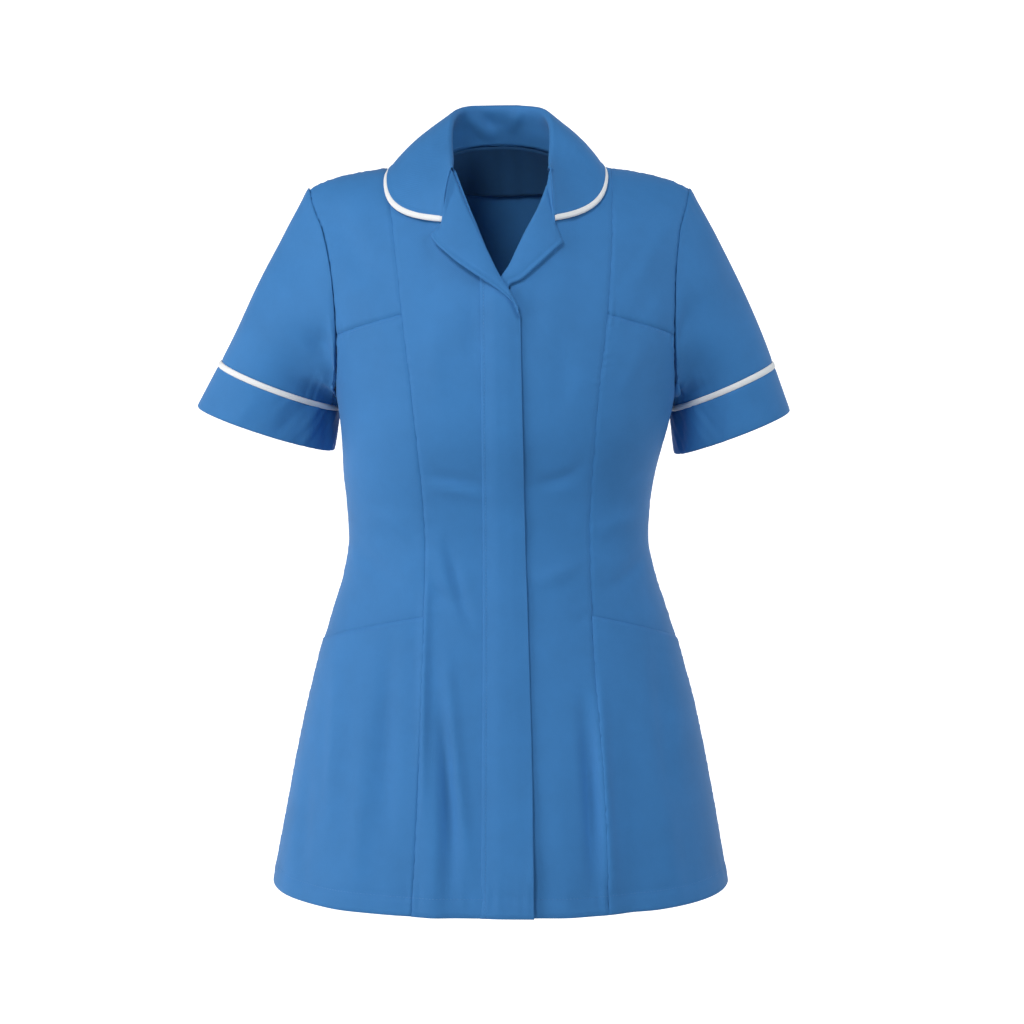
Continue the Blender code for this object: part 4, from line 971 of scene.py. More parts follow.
# How far the front of the rings hangs lower on each side
RING_DROP = {RIGHT: 0.004, LEFT: 0.002}
PIPING_WIDTH = 0.0050
CUFF_REACH = 0.0465
CUFF_CLOTH = 0.0022
CUFF_PIPING_CLOTH = 0.0016
COLLAR_PIPING_CLOTH = 0.0018
# The sleeve leaves its seam outward and up by these, under the arm and at the shoulder's tip
LEAVES_UNDER_ARM = (0.18, -0.98)
LEAVES_AT_TIP = (0.52, -0.86)
LEAVES_AHEAD = 0.10
ARMHOLE_GAP = 0.0003
# Soft puckers round the sleeve's cap, and gathers at its end under the arm: height, wave length and reach
CAP_PUCKER = 0.0006
CAP_WAVE = 0.0135
CAP_REACH = 0.016
GATHER = 0.0020
GATHER_WAVE = 0.0125
GATHER_REACH = 0.026
SLEEVE_END_DIP = ((-0.0008, 0, 0.0022),)
CUFF_GATHER = 0.0009
CUFF_GATHER_WAVE = 0.017
CUFF_PROUD = 0.0003
CUFF_TOP_DIP = ((-0.0006, 0, 0.0018),)
CUFF_HEM_DIP = ((-0.0003, 0, 0.0014),)


def sleeve_ring_angles(half):
    """Angles round a ring with a number of points on each half."""
    return np.arange(2 * half) * math.pi / half


def end_ring(corners, side, half):
    """An oval ring between its two corners; angle 0 is the outer corner and it passes the front first."""
    outer, inner = np.array(corners["outer"]), np.array(corners["inner"])
    centre, arm = (outer + inner) / 2, (outer - inner) / 2
    forward = np.array([0.0, -corners["half_depth"], -RING_DROP[side]])
    angle = sleeve_ring_angles(half)[:, None]
    return centre + np.cos(angle) * arm + np.sin(angle) * forward


def armhole_ring(side, half):
    """The armhole seam as a closed ring, from the shoulder's tip down the front and up the back."""
    up = (1 + np.cos(np.arange(half + 1) * math.pi / half)) / 2
    front = armhole("front", side, up)
    back = armhole("back", side, up[::-1])
    return np.concatenate([front, back[1:-1]])


def sleeve_grid(side, rows, half):
    """Rows of rings from the armhole to the sleeve's end, on curves that leave the seam outward."""
    start = armhole_ring(side, half)
    end = end_ring(SLEEVE_END[side], side, half)
    hem = end_ring(CUFF_HEM[side], side, half)
    angle = sleeve_ring_angles(half)
    top = (1 + np.cos(angle)) / 2
    ahead = np.sin(angle)
    reach = np.linalg.norm(end - start, axis=1)
    outward, upward = (low + (high - low) * top for low, high in zip(LEAVES_UNDER_ARM, LEAVES_AT_TIP))
    leave = unit(np.stack([side * outward, -LEAVES_AHEAD * ahead, upward], axis=1))
    start = start + np.array([side * ARMHOLE_GAP, 0, 0])
    t = np.linspace(0, 1, rows)[:, None, None]
    return curve(t, start, end, reach[None, :, None], leave, unit(hem - end))


def cuff_ring(side, distance, half):
    """The ring at a distance past the sleeve's end, towards the cuff's hem."""
    end = end_ring(SLEEVE_END[side], side, half)
    hem = end_ring(CUFF_HEM[side], side, half)
    return end + (hem - end) * distance / CUFF_REACH


def tube_out(grid):
    """Unit normals of a closed tube, pointing away from its middle."""
    out = normals(grid, closed=True)
    away = grid - grid.mean(axis=1, keepdims=True)
    return out if np.sum(out * away) > 0 else -out


def turns_of(grid):
    """Places round and along a closed tube, as shares."""
    around = np.arange(grid.shape[1])[None, :] / grid.shape[1]
    return around, np.linspace(0, 1, grid.shape[0])[:, None]


def wrapped_creases(table, around, along):
    """Creases round a tube, also where they pass its first column."""
    return sum(crease_height(table, around + step, along) for step in (-1, 0, 1))


class TUNIC_OT_sleeves(TunicOperator, bpy.types.Operator):
    """Build the short set-in sleeves"""

    bl_idname = "tunic.sleeves"
    bl_label = "Sleeves"

    def execute(self, context):
        strength = context.scene.tunic_cloth.crease_strength
        for name, side in SIDES.items():
            flat = sleeve_grid(side, 64, 64)
            out = tube_out(flat)
            around, along = turns_of(flat)
            height = strength * wrapped_creases(CREASES["sleeve_" + name], around, along)
            run = lengths(flat, 0)
            left = run[-1:] - run
            height = with_ridges(height, left, SLEEVE_END_DIP)
            # The cap eases into the armhole: short soft puckers all round its upper part
            cap = (1 + np.cos(2 * np.pi * around)) / 2
            ease = wander(around * 0.5 + 0 * along, CAP_WAVE, 2.0 + side)
            height = height + CAP_PUCKER * cap * ease * bell(run, CAP_REACH)
            height = height + (0.0008 * cap - 0.0004) * bell(run - 0.004, 0.006)
            # Under the arm the sleeve's end gathers a little against the cuff
            inner = np.clip(-np.cos(2 * np.pi * around), 0, 1) ** 1.5
            gather = wander(around * 0.35 + 0 * along, GATHER_WAVE, 4.0 + side)
            height = height + GATHER * inner * gather * bell(left, GATHER_REACH)
            grid = flat + out * height[:, :, None]
            thing = piece("set_in_sleeve_" + name, grid, tube_out(grid), CLOTH, "blue twill", "blue_twill",
                          "sleeve_" + name, closed=True)
        return {"FINISHED"}


class TUNIC_OT_cuffs(TunicOperator, bpy.types.Operator):
    """Build the deep turned cuffs and the white piping above them"""

    bl_idname = "tunic.cuffs"
    bl_label = "Cuffs"

    def execute(self, context):
        strength = context.scene.tunic_cloth.crease_strength
        for name, side in SIDES.items():
            start = PIPING_WIDTH + 0.0001
            flat = np.stack([cuff_ring(side, d, 64) for d in np.linspace(start, CUFF_REACH, 26)])
            out = tube_out(flat)
            around, along = turns_of(flat)
            inner = np.clip(-np.cos(2 * np.pi * around) + 0.25, 0, 1) ** 1.3
            gather = wander(around * 0.35 + 0.02 * along, CUFF_GATHER_WAVE, 1.0 + side)
            height = CUFF_GATHER * inner * gather * (1 - 0.6 * along)
            run = lengths(flat, 0)
            left = run[-1:] - run
            height = with_ridges(with_ridges(height, run, CUFF_TOP_DIP), left, CUFF_HEM_DIP)
            creases = strength * wrapped_creases(CREASES["cuff_" + name], around, along)
            height = height + CUFF_PROUD + creases
            grid = flat + out * height[:, :, None]
            cuff = piece("turned_cuff_" + name, grid, tube_out(grid), CUFF_CLOTH, "blue twill", "blue_twill",
                         "cuff_" + name, closed=True)
            rows = np.linspace(0.0, PIPING_WIDTH + 0.0002, 9)
            grid = np.stack([cuff_ring(side, d, 64) for d in rows])
            dome = np.sqrt(np.clip(1 - ((rows / PIPING_WIDTH - 0.5) / 0.56) ** 2, 0, 1))
            grid = grid + tube_out(grid) * (0.0001 + 0.0010 * dome)[:, None, None]
            thing = piece("piped_edge_" + name, grid, tube_out(grid), CUFF_PIPING_CLOTH, "white piping cloth",
                          "white_piping", "cuff_piping_" + name, closed=True)
        return {"FINISHED"}


# Collar stations from the middle of the back to the collar's front end; the left has its own outer edge.
# The seam is found from its x, the roll line is a point, and the outer edge is found from x and z.
COLLAR = Table("station seam_x roll_x roll_y roll_z edge_x edge_z edge_x_left edge_z_left", [
    (0, 0.0000, 0.0000, 0.0500, 0.0515, 0.0000, -0.0060, 0.0000, -0.0060),
    (1, 0.0200, 0.0180, 0.0475, 0.0512, 0.0300, -0.0075, 0.0300, -0.0075),
    (2, 0.0400, 0.0330, 0.0380, 0.0500, 0.0600, -0.0090, 0.0580, -0.0090),
    (3, 0.0550, 0.0425, 0.0235, 0.0475, 0.0880, -0.0100, 0.0840, -0.0100),
    (4, 0.0680, 0.0465, 0.0080, 0.0410, 0.1060, -0.0089, 0.0985, -0.0078),
    (5, 0.0675, 0.0478, -0.0020, 0.0340, 0.1085, -0.0205, 0.1000, -0.0180),
    (6, 0.0660, 0.0482, -0.0120, 0.0245, 0.1085, -0.0317, 0.0990, -0.0290),
    (7, 0.0630, 0.0480, -0.0220, 0.0150, 0.1042, -0.0445, 0.0945, -0.0415),
    (8, 0.0585, 0.0470, -0.0330, 0.0050, 0.0927, -0.0544, 0.0824, -0.0516),
    (9, 0.0520, 0.0458, -0.0465, -0.0045, 0.0735, -0.0598, 0.0645, -0.0580),
    (10, 0.0480, 0.0452, -0.0588, -0.0104, 0.0520, -0.0612, 0.0480, -0.0602),
])
BACK_STATIONS = 4
FRONT_END_STATION = 10
COLLAR_CLOTH = 0.0015
COLLAR_LIFT = 0.0030
GORGE_DIP = ((-0.0009, 0, 0.0016),)
COLLAR_EDGE = ((-0.0004, 0, 0.0016), (0.0002, 0.004, 0.002))
LAPEL_EDGE = ((0.0004, 0.0012, 0.0010), (-0.0003, 0.0042, 0.0015))
ROLL_RADIUS = 0.0022
LEAF_BULGE = 0.0035
STAND_POINTS = 4


def surface_out(face, side, angle, level):
    """Direction out of the body at a place."""
    small = 1e-3
    run_x = torso(face, side, angle + small, level) - torso(face, side, angle - small, level)
    run_z = torso(face, side, angle, level) - torso(face, side, angle, level - small)
    return unit(np.cross(run_x, run_z) * -OUTWARD[face] * side)


def collar_frame(station, side):
    """Seam, roll and edge points of the collar at a station on one side."""
    column = "edge_x_left" if side == LEFT else "edge_x"
    edge_x, edge_z = COLLAR.at(column, station), COLLAR.at(column.replace("_x", "_z"), station)
    roll = np.array([COLLAR.at(name, station) for name in ("roll_x", "roll_y", "roll_z")]) * (side, 1, 1)
    face = "back" if station < BACK_STATIONS else "front"
    seam_x = COLLAR.at("seam_x", station)
    neck = BACK_NECK if face == "back" else FRONT_NECK[side]
    seam = torso_at(face, side, side * seam_x, neck.at("z", seam_x))
    level = level_of(side * edge_x, edge_z)
    angle = angle_of(side, side * edge_x, level)
    edge = torso(face, side, angle, level)
    return seam, roll, edge + COLLAR_LIFT * surface_out(face, side, angle, level)


def collar_profile(station, side, leaf_shares):
    """Middle line of the collar's wall at a station: up the stand, over the roll and down the leaf."""
    seam, roll, edge = collar_frame(station, side)
    stand = roll - seam
    height = np.linalg.norm(stand)
    radius = min(ROLL_RADIUS, 0.3 * height)
    out = edge - seam
    out[2] = 0
    out = unit(out)
    down = np.array([0, 0, -0.6 * radius])
    inner_top = roll - out * radius + down
    outer_top = roll + out * radius + down
    leaf = edge - outer_top
    up = np.array([0.0, 0.0, 1.0])
    bulge = unit(up - leaf * np.dot(up, leaf) / np.dot(leaf, leaf)) + 0.3 * out
    points = [seam, (seam + inner_top) / 2 - out * 0.0006, inner_top, roll]
    for share in leaf_shares:
        points.append(outer_top + share * leaf + LEAF_BULGE * math.sin(math.pi * share) * bulge)
    return np.array(points)


LEAF_SHARES = tuple(np.linspace(0, 1, 9)[:-1])


def collar_rows(count):
    """A row of points for each station round the neck, the piping's strip as its last two."""
    half = np.linspace(0, FRONT_END_STATION, count)
    rows = []
    for station, side in [(s, RIGHT) for s in half[::-1]] + [(s, LEFT) for s in half[1:]]:
        _, roll, edge = collar_frame(station, side)
        share = 1 - PIPING_WIDTH / np.linalg.norm(edge - roll)
        rows.append(collar_profile(station, side, LEAF_SHARES[:-1] + (share, 1.0)))
    return eased(np.array(rows), 40)


def eased(grid, rounds):
    """Smooth a grid along its rows' order, its first and last rows kept."""
    grid = grid.copy()
    for _ in range(rounds):
        grid[1:-1] = grid[1:-1] / 2 + (grid[:-2] + grid[2:]) / 4
    return grid


class TUNIC_OT_collar(TunicOperator, bpy.types.Operator):
    """Build the collar's stand and leaf, and the white piping on its edge"""

    bl_idname = "tunic.collar"
    bl_label = "Collar"

    def execute(self, context):
        rows = collar_rows(61)
        leaf = refined(rows[:, :-1], 58, axis=1)
        out = normals(leaf)
        along, down = lengths(leaf, 0), lengths(leaf, 1)
        from_edge = down[:, -1:] - down
        relief = 0.00015 * wander(along, 0.071, 1.0) * wander(down, 0.037, 2.0)
        strength = context.scene.tunic_cloth.crease_strength
        relief = relief + strength * crease_height(CREASES["collar"], along - along[len(along) // 2], down)
        relief = with_ridges(relief, from_edge, COLLAR_EDGE)
        to_end = np.minimum(along, along[-1:] - along)
        relief = with_ridges(relief, to_end, GORGE_DIP)
        middle = leaf + out * relief[:, :, None]
        half = COLLAR_CLOTH / 2
        turned_collar = piece("turned_collar", middle + half * normals(middle), normals(middle), COLLAR_CLOTH,
                              "blue twill", "blue_twill", "collar")
        strip = refined(rows[:, -2:], 9, axis=1)
        strip_out = normals(refined(rows[:, -3:], 25, axis=1))[:, -9:]
        dome = np.sqrt(np.clip(1 - ((np.linspace(0, 1, 9) - 0.5) / 0.54) ** 2, 0, 1))
        guide = np.sign(np.sum(strip_out * unit(strip - np.array([0, 0, -0.1]))))
        strip_out = strip_out * (guide or 1)
        top = strip + strip_out * (0.0004 + 0.0009 * dome)[None, :, None]
        thing = piece("collar_edge_piping", top, strip_out, COLLAR_PIPING_CLOTH, "white piping cloth",
                      "white_piping", "collar_piping")
        return {"FINISHED"}


# Lapel rows from the collar's end down to the closing: roll line, outer edge and the edge's lift
LAPELS = {
    RIGHT: Table("row roll_x roll_z edge_x edge_z roll_lift edge_lift behind", [
        (0, 0.0437, -0.0153, 0.0617, -0.0737, 0.0020, 0.0055, 0.0024),
        (1, 0.0400, -0.0250, 0.0556, -0.0830, 0.0020, 0.0072, 0.0024),
        (2, 0.0330, -0.0430, 0.0478, -0.0903, 0.0020, 0.0082, 0.0024),
        (3, 0.0235, -0.0635, 0.0395, -0.0974, 0.0022, 0.0085, 0.0024),
        (4, 0.0096, -0.0935, 0.0185, -0.1119, 0.0036, 0.0075, 0.0010),
        (5, 0.0005, -0.1117, 0.0000, -0.1245, 0.0040, 0.0055, -0.0030),
        (6, -0.0069, -0.1228, -0.0105, -0.1345, 0.0042, 0.0048, -0.0034),
        (7, -0.0150, -0.1375, -0.0175, -0.1480, 0.0042, 0.0044, -0.0036),
    ]),
    LEFT: Table("row roll_x roll_z edge_x edge_z roll_lift edge_lift behind", [
        (0, 0.0444, -0.0153, 0.0560, -0.0801, 0.0020, 0.0036, 0.0024),
        (1, 0.0420, -0.0280, 0.0509, -0.0842, 0.0020, 0.0035, 0.0024),
        (2, 0.0363, -0.0445, 0.0462, -0.0886, 0.0020, 0.0034, 0.0024),
        (3, 0.0225, -0.0716, 0.0398, -0.0946, 0.0020, 0.0032, 0.0024),
        (4, 0.0150, -0.0870, 0.0282, -0.1051, 0.0020, 0.0028, 0.0024),
        (5, 0.0087, -0.1000, 0.0178, -0.1137, 0.0020, 0.0026, 0.0022),
        (6, 0.0030, -0.1085, 0.0085, -0.1180, 0.0020, 0.0022, 0.0010),
        (7, -0.0020, -0.1160, 0.0055, -0.1240, 0.0017, 0.0017, -0.0010),
    ]),
}
LAPEL_BULGE = 0.0008
# Down the first row of a lapel, the collar's end takes this share and the notch the rest
NOTCH_SHARE = 0.78
# How far a lapel's cloth goes on behind the front's edge, and how deep behind it stands there
ROLL_REACH = 0.009
ROLL_BEHIND = 0.0024
ROLL_TURNS = (90, 60, 25, -15)


def lift_front(x, z, side, lift):
    """Points of the front at x and z, moved out square to its surface."""
    small = 5e-4
    run_x = torso_at("front", side, x + small, z) - torso_at("front", side, x - small, z)
    run_z = torso_at("front", side, x, z + small) - torso_at("front", side, x, z - small)
    return torso_at("front", side, x, z) + unit(np.cross(run_x, run_z)) * np.asarray(lift)[..., None]


def collar_end(side, shares):
    """Points down the leaf at the collar's front end, where the lapel starts."""
    return collar_profile(FRONT_END_STATION, side, shares)[STAND_POINTS:]


def lapel_rows(side, shares, row_steps):
    """Rows of a lapel from its table; the first one follows the collar's end and then the notch."""
    table = LAPELS[side]
    last = int(table.values["row"][-1])
    rows = np.linspace(0, last, last * row_steps + 1)[:, None]
    share = np.asarray(shares, float)[None, :]
    x = side * (table.at("roll_x", rows) + share * (table.at("edge_x", rows) - table.at("roll_x", rows)))
    z = table.at("roll_z", rows) + share * (table.at("edge_z", rows) - table.at("roll_z", rows))
    roll_lift, edge_lift = table.at("roll_lift", rows), table.at("edge_lift", rows)
    lift = roll_lift + (edge_lift - roll_lift) * share ** 0.9 + LAPEL_BULGE * np.sin(np.pi * share ** 0.85)
    grid = lift_front(x, z, side, lift)
    point = lift_front(side * table.at("edge_x", 0), table.at("edge_z", 0), side, table.at("edge_lift", 0))
    along_collar = collar_end(side, np.minimum(share[0] / NOTCH_SHARE, 1))
    out_notch = np.clip((share[0] - NOTCH_SHARE) / (1 - NOTCH_SHARE), 0, 1)[:, None]
    first = along_collar + out_notch * (point - along_collar)
    return grid + np.clip(1 - rows, 0, 1)[:, :, None] * (first - grid[0])


def rolled(face, out, side):
    """Points that carry a lapel's face round the front's edge and a little way behind it."""
    table = LAPELS[side]
    rows = np.linspace(0, table.values["row"][-1], len(face))
    behind = table.at("behind", rows)[:, None]
    inward = unit(face[:, 6] - face[:, 0])
    radius = (table.at("roll_lift", rows)[:, None] + behind) / 2
    strips = []
    for share in (1.0, 0.4):
        reach = ROLL_REACH * share * np.maximum(behind, 0) / ROLL_BEHIND + radius
        strips.append(face[:, 0] + inward * reach - out[:, 0] * 2 * radius)
    for turn in np.radians(ROLL_TURNS):
        across = radius * (1 - math.cos(turn)) - radius * 0.35
        strips.append(face[:, 0] + inward * across - out[:, 0] * radius * (1 + math.sin(turn)))
    return np.stack(strips, axis=1)


class TUNIC_OT_lapels(TunicOperator, bpy.types.Operator):
    """Build the small lapels that the fronts turn back into"""

    bl_idname = "tunic.lapels"
    bl_label = "Lapels"

    def execute(self, context):
        for name, side in SIDES.items():
            face = lapel_rows(side, even_shares(30, 0.5), 8)
            out = normals(face)
            out = out * (-1 if np.sum(out[:, :, 1]) > 0 else 1)
            start = rolled(face, out, side)
            grid = refined(np.concatenate([start, face[:, 2:]], axis=1), 48, axis=1)
            out = normals(grid)
            out = out * (-1 if np.sum(out[:, 14:, 1]) > 0 else 1)
            away = lengths(grid, 1)[:, -1:] - lengths(grid, 1)
            relief = with_ridges(with_ridges(0.0, away, LAPEL_EDGE), lengths(grid, 0), GORGE_DIP)
            grid = grid + out * relief[:, :, None]
            thing = piece("turned_lapel_" + name, grid + out * FOLDED_CLOTH / 2, out, FOLDED_CLOTH,
                          "blue twill", "blue_twill", "lapel_" + name)
        return {"FINISHED"}


FLY_TOP = Table("x z", [
    (-0.0190, -0.1050),
    (0.0000, -0.1185),
    (0.0069, -0.1268),
    (0.0135, -0.1385),
    (0.0180, -0.1470),
])
# How far the fly stands off the fronts across its width: stitched down on the right, free on the left
FLY_LIFT = Table("share lift", [
    (0.00, 0.0002),
    (0.04, 0.0010),
    (0.09, 0.0013),
    (0.20, 0.0025),
    (0.30, 0.0035),
    (0.40, 0.0041),
    (0.65, 0.0043),
    (0.85, 0.0037),
    (1.00, 0.0031),
])
ZIP_TOP_LEVEL = 1.36
FLY_CLOTH = 0.0016
# Above the zip the fly tucks in under the lapel: its greatest lift there, and the levels that this takes
FLY_TUCKED_LIFT = 0.0024
FLY_TUCK_LEVELS = 0.05
FLY_STITCH_PUCKER = 0.00015
FLY_WAVE = 0.0006
FLY_WAVE_LENGTH = 0.110
FLY_OPENS = 0.0042
FLY_OPENS_OVER = 0.08


class TUNIC_OT_fly(TunicOperator, bpy.types.Operator):
    """Build the fly that covers the zip, stitched down on the wearer's right"""

    bl_idname = "tunic.fly"
    bl_label = "Fly"

    def execute(self, context):
        shares = even_shares(30, 0.7)
        start, end = front_line("fly_stitch", 1.4), front_line("fly_edge", 1.4)
        x_top = start + shares * (end - start)
        top = level_of(x_top, FLY_TOP.at("z", x_top))
        levels = np.linspace(0, 1, 150)[:, None] * top[None, :]
        stitch, edge = front_line("fly_stitch", levels), front_line("fly_edge", levels)
        x = stitch + shares[None, :] * (edge - stitch)
        flat = torso("front", LEFT, angle_of(LEFT, x, levels), levels)
        grid, out = creased(flat, "front")
        up = lengths(flat, 0)
        tucked = np.clip((levels - ZIP_TOP_LEVEL) / FLY_TUCK_LEVELS, 0, 1)
        tucked = tucked * tucked * (3 - 2 * tucked)
        lift = FLY_LIFT.at("lift", shares)[None, :]
        lift = lift + tucked * (np.minimum(lift, FLY_TUCKED_LIFT) - lift)
        line = bell(shares[None, :] - 0.075, 0.03)
        lift = lift + FLY_STITCH_PUCKER * line * wander(up, 0.014, 3.0)
        # The free edge waves a little and stands open towards the hem
        free = shares[None, :] ** 3
        lift = lift + FLY_WAVE * free * wander(up, FLY_WAVE_LENGTH, 5.0)
        lift = lift + FLY_OPENS * free * bell(up, FLY_OPENS_OVER)
        lift = lift + hem_relief(flat, context.scene.tunic_cloth.hem_depth)
        grid = grid + out * lift[:, :, None]
        thing = piece("fly_front", grid, facing_out(grid), FLY_CLOTH, "blue twill", "blue_twill",
                      "fly_placket")
        GRIDS["fly_front"] = grid
        return {"FINISHED"}


TAPE_INNER = 0.0031
TAPE_OUTER = 0.0145
TAPE_CLOTH = 0.0009
TAPE_INSIDE = 0.0021
TOOTH_SIZE = (0.0037, 0.0021, 0.0016)
TOOTH_ASIDE = 0.0008
TOOTH_BEVEL = 0.0003
CHAIN_DEPTHS = (0.0014, 0.0036)
CHAIN_BELOW = 0.03
TOOTH_SPACING = 0.0021
ZIP_FOOT_LEVEL = 0.06


def zip_line(offsets, levels):
    """Points at offsets from the closing line, on the fronts' outer face."""
    levels = np.asarray(levels)[:, None]
    x = front_line("centre", levels) + np.asarray(offsets)[None, :]
    return torso("front", LEFT, angle_of(LEFT, x, levels), levels)


def rounded_box(mesh, centre, size, axes, bevel):
    """Add a bevelled box to a bmesh; axes are its across, out and up directions."""
    made = bmesh.ops.create_cube(mesh, size=1.0)["verts"]
    edges = list({edge for vertex in made for edge in vertex.link_edges})
    for vertex in made:
        vertex.co = Vector([vertex.co[i] * size[i] for i in range(3)])
    made_faces = bmesh.ops.bevel(mesh, geom=edges, offset=bevel, segments=2, affect="EDGES", profile=0.5)
    vertices = list({vertex for face in made_faces["faces"] for vertex in face.verts})
    for vertex in vertices:
        place = sum((axes[i] * vertex.co[i] for i in range(3)), Vector((0, 0, 0)))
        vertex.co = Vector(centre) + place


def object_of(name, mesh, material):
    """An object from a bmesh."""
    data = bpy.data.meshes.new(name)
    mesh.to_mesh(data)
    mesh.free()
    data.shade_smooth()
    data.set_sharp_from_angle(angle=math.radians(40))
    data.materials.append(material)
    return placed(name, data)


class TUNIC_OT_zip(TunicOperator, bpy.types.Operator):
    """Build the zip behind the fly: tapes, teeth, slider and pull"""

    bl_idname = "tunic.zip"
    bl_label = "Zip"

    def execute(self, context):
        levels = np.linspace(ZIP_FOOT_LEVEL, ZIP_TOP_LEVEL, 130)
        for name, side in SIDES.items():
            offsets = side * np.linspace(TAPE_INNER - 0.0003, TAPE_OUTER, 8)
            flat = zip_line(offsets, levels)
            out = facing_out(flat)
            grid = flat - out * TAPE_INSIDE
            thing = piece("woven_tape_" + name, grid, out, TAPE_CLOTH, "woven zip tape", "zip_tape",
                          "zip_tape_" + name)
        top = ZIP_TOP_LEVEL - CHAIN_BELOW
        fine = np.linspace(ZIP_FOOT_LEVEL, top, 600)
        middle = zip_line((0.0,), fine)[:, 0]
        out = facing_out(zip_line((-0.002, 0.002), fine))[:, 0]
        middle = middle - out * sum(CHAIN_DEPTHS) / 2
        run = run_of(middle)
        teeth = bmesh.new()
        count = int(run[-1] / TOOTH_SPACING)
        for number in range(count):
            at = (number + 0.5) * TOOTH_SPACING
            point = along_line(at, run, middle)
            direction = Vector(along_line(at, run, out)).normalized()
            across = Vector((1, 0, 0))
            up = across.cross(direction).normalized()
            half = (number % 2 - 0.5) * 2
            rounded_box(teeth, Vector(point) + across * half * TOOTH_ASIDE, TOOTH_SIZE,
                        (across, direction, up), TOOTH_BEVEL)
        thing = object_of("coil_teeth", teeth, finish_of("moulded teeth"))
        settle(thing, "zip_teeth", "zip_chain")
        for node in ("zip_slider", "zip_pull"):
            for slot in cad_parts[node].material_slots:
                slot.material = finish_of("cast slider")
        return {"FINISHED"}


FACING_DEPTH = 0.047
FACING_HALF_WIDTH = 0.054
FACING_CLOTH = 0.001
FACING_BELOW_NECK = 0.001
FACING_INSIDE = 0.0029


class TUNIC_OT_facing(TunicOperator, bpy.types.Operator):
    """Build the facing that shows inside the back of the neck"""

    bl_idname = "tunic.facing"
    bl_label = "Neck facing"

    def execute(self, context):
        x = np.linspace(-FACING_HALF_WIDTH, FACING_HALF_WIDTH, 40)[None, :]
        top = BACK_NECK.at("z", np.abs(x)) - FACING_BELOW_NECK
        z = top - np.linspace(1, 0, 20)[:, None] * FACING_DEPTH * (1 - 0.25 * (x / FACING_HALF_WIDTH) ** 2)
        flat = torso_at("back", LEFT, x + 0 * z, z)
        out = facing_out(flat)
        relief = 0.0003 * wander(lengths(flat, 1), 0.031, 1.0)
        grid = flat - out * (FACING_INSIDE + relief)[:, :, None]
        # The facing takes the twill in painted shade, at half the cloth's colour
        thing = piece("neck_facing", grid, out, FACING_CLOTH, "shaded twill", "blue_twill",
                      "back_neck_facing")
        return {"FINISHED"}


# The final points of the panels, for the operators that sew along them
GRIDS = {}
STITCH = 0.0024
STITCH_GAP = 0.0008
FLY_STITCH_IN = 0.0042
BUST_STITCH_IN = 0.0022


def line_at(grid, distance, edge):
    """Points and unit normals along a line at a distance from an edge of a grid."""
    if edge in ("left", "right"):
        grid = np.swapaxes(grid, 0, 1)
    if edge in ("right", "top"):
        grid = grid[::-1]
    out = facing_out(grid)
    run = lengths(grid, 0)
    points, outs = [], []
    for column in range(grid.shape[1]):
        points.append(along_line(distance, run[:, column], grid[:, column]))
        outs.append(along_line(distance, run[:, column], out[:, column]))
    return np.array(points), unit(np.array(outs))


def stitched(name, lines, thickness=0.00042, rise=0.00008):
    """Small tapered stitches along lines of points, in one mesh."""
    shares = np.array([-1.0, -0.55, 0.0, 0.55, 1.0]) / 2
    fullness = np.array([0.35, 0.95, 1.0, 0.95, 0.35])
    sink = np.array([-0.00035, 0.0, 0.0001, 0.0, -0.00035])
    turns = np.arange(6) * math.pi / 3
    points, faces = [], []
    for line, outs in lines:
        run = run_of(line)
        count = int(run[-1] / (STITCH + STITCH_GAP))
        for number in range(count):
            at = (number + 0.5) * run[-1] / count + shares * STITCH
            middle = along_line(at, run, line)
            out = unit(along_line(at, run, outs))
            along = unit(middle[-1:] - middle[:1])
            beside = unit(np.cross(along, out))
            middle = middle + out * (rise + sink)[:, None]
            ring = np.cos(turns)[None, :, None] * beside[:, None]
            ring = ring + np.sin(turns)[None, :, None] * out[:, None] * 0.8
            made = middle[:, None] + ring * (thickness / 2 * fullness)[:, None, None]
            start = sum(len(p) for p in points)
            index = start + np.arange(30).reshape(5, 6)
            turned = np.roll(index, -1, axis=1)
            quads = np.stack([index[:-1], turned[:-1], turned[1:], index[1:]], axis=2).reshape(-1, 4)
            faces.extend(quads.tolist())
            faces.append(index[0, ::-1].tolist())
            faces.append(index[-1].tolist())
            points.append(made.reshape(-1, 3))
    mesh = bpy.data.meshes.new(name)
    mesh.from_pydata(np.concatenate(points).tolist(), [], faces)
    mesh.update()
    mesh.shade_smooth()
    layer = mesh.uv_layers.new(name="cloth")
    places = np.concatenate(points)[[loop.vertex_index for loop in mesh.loops]]
    layer.data.foreach_set("uv", (places[:, [0, 2]]).astype(np.float32).ravel())
    mesh.materials.append(finish_of("thread"))
    settle(placed(name, mesh), "blue_twill")


class TUNIC_OT_stitching(TunicOperator, bpy.types.Operator):
    """Sew the hem, the fly and the seams under the bust"""

    bl_idname = "tunic.stitching"
    bl_label = "Stitching"

    def execute(self, context):
        if not GRIDS:
            raise RuntimeError("The panels are built before the stitching")
        hem = context.scene.tunic_cloth.hem_depth
        lines = [line_at(GRIDS[name], hem, "bottom") for name in GRIDS
                 if name.startswith(("centre", "pocket", "side_back"))]
        stitched("hem_stitching", lines)
        stitched("fly_stitching", [line_at(GRIDS["fly_front"], FLY_STITCH_IN, "left")])
        lines = [line_at(GRIDS["side_front_" + name], BUST_STITCH_IN, "top") for name in SIDES]
        stitched("bust_stitching", lines)
        return {"FINISHED"}


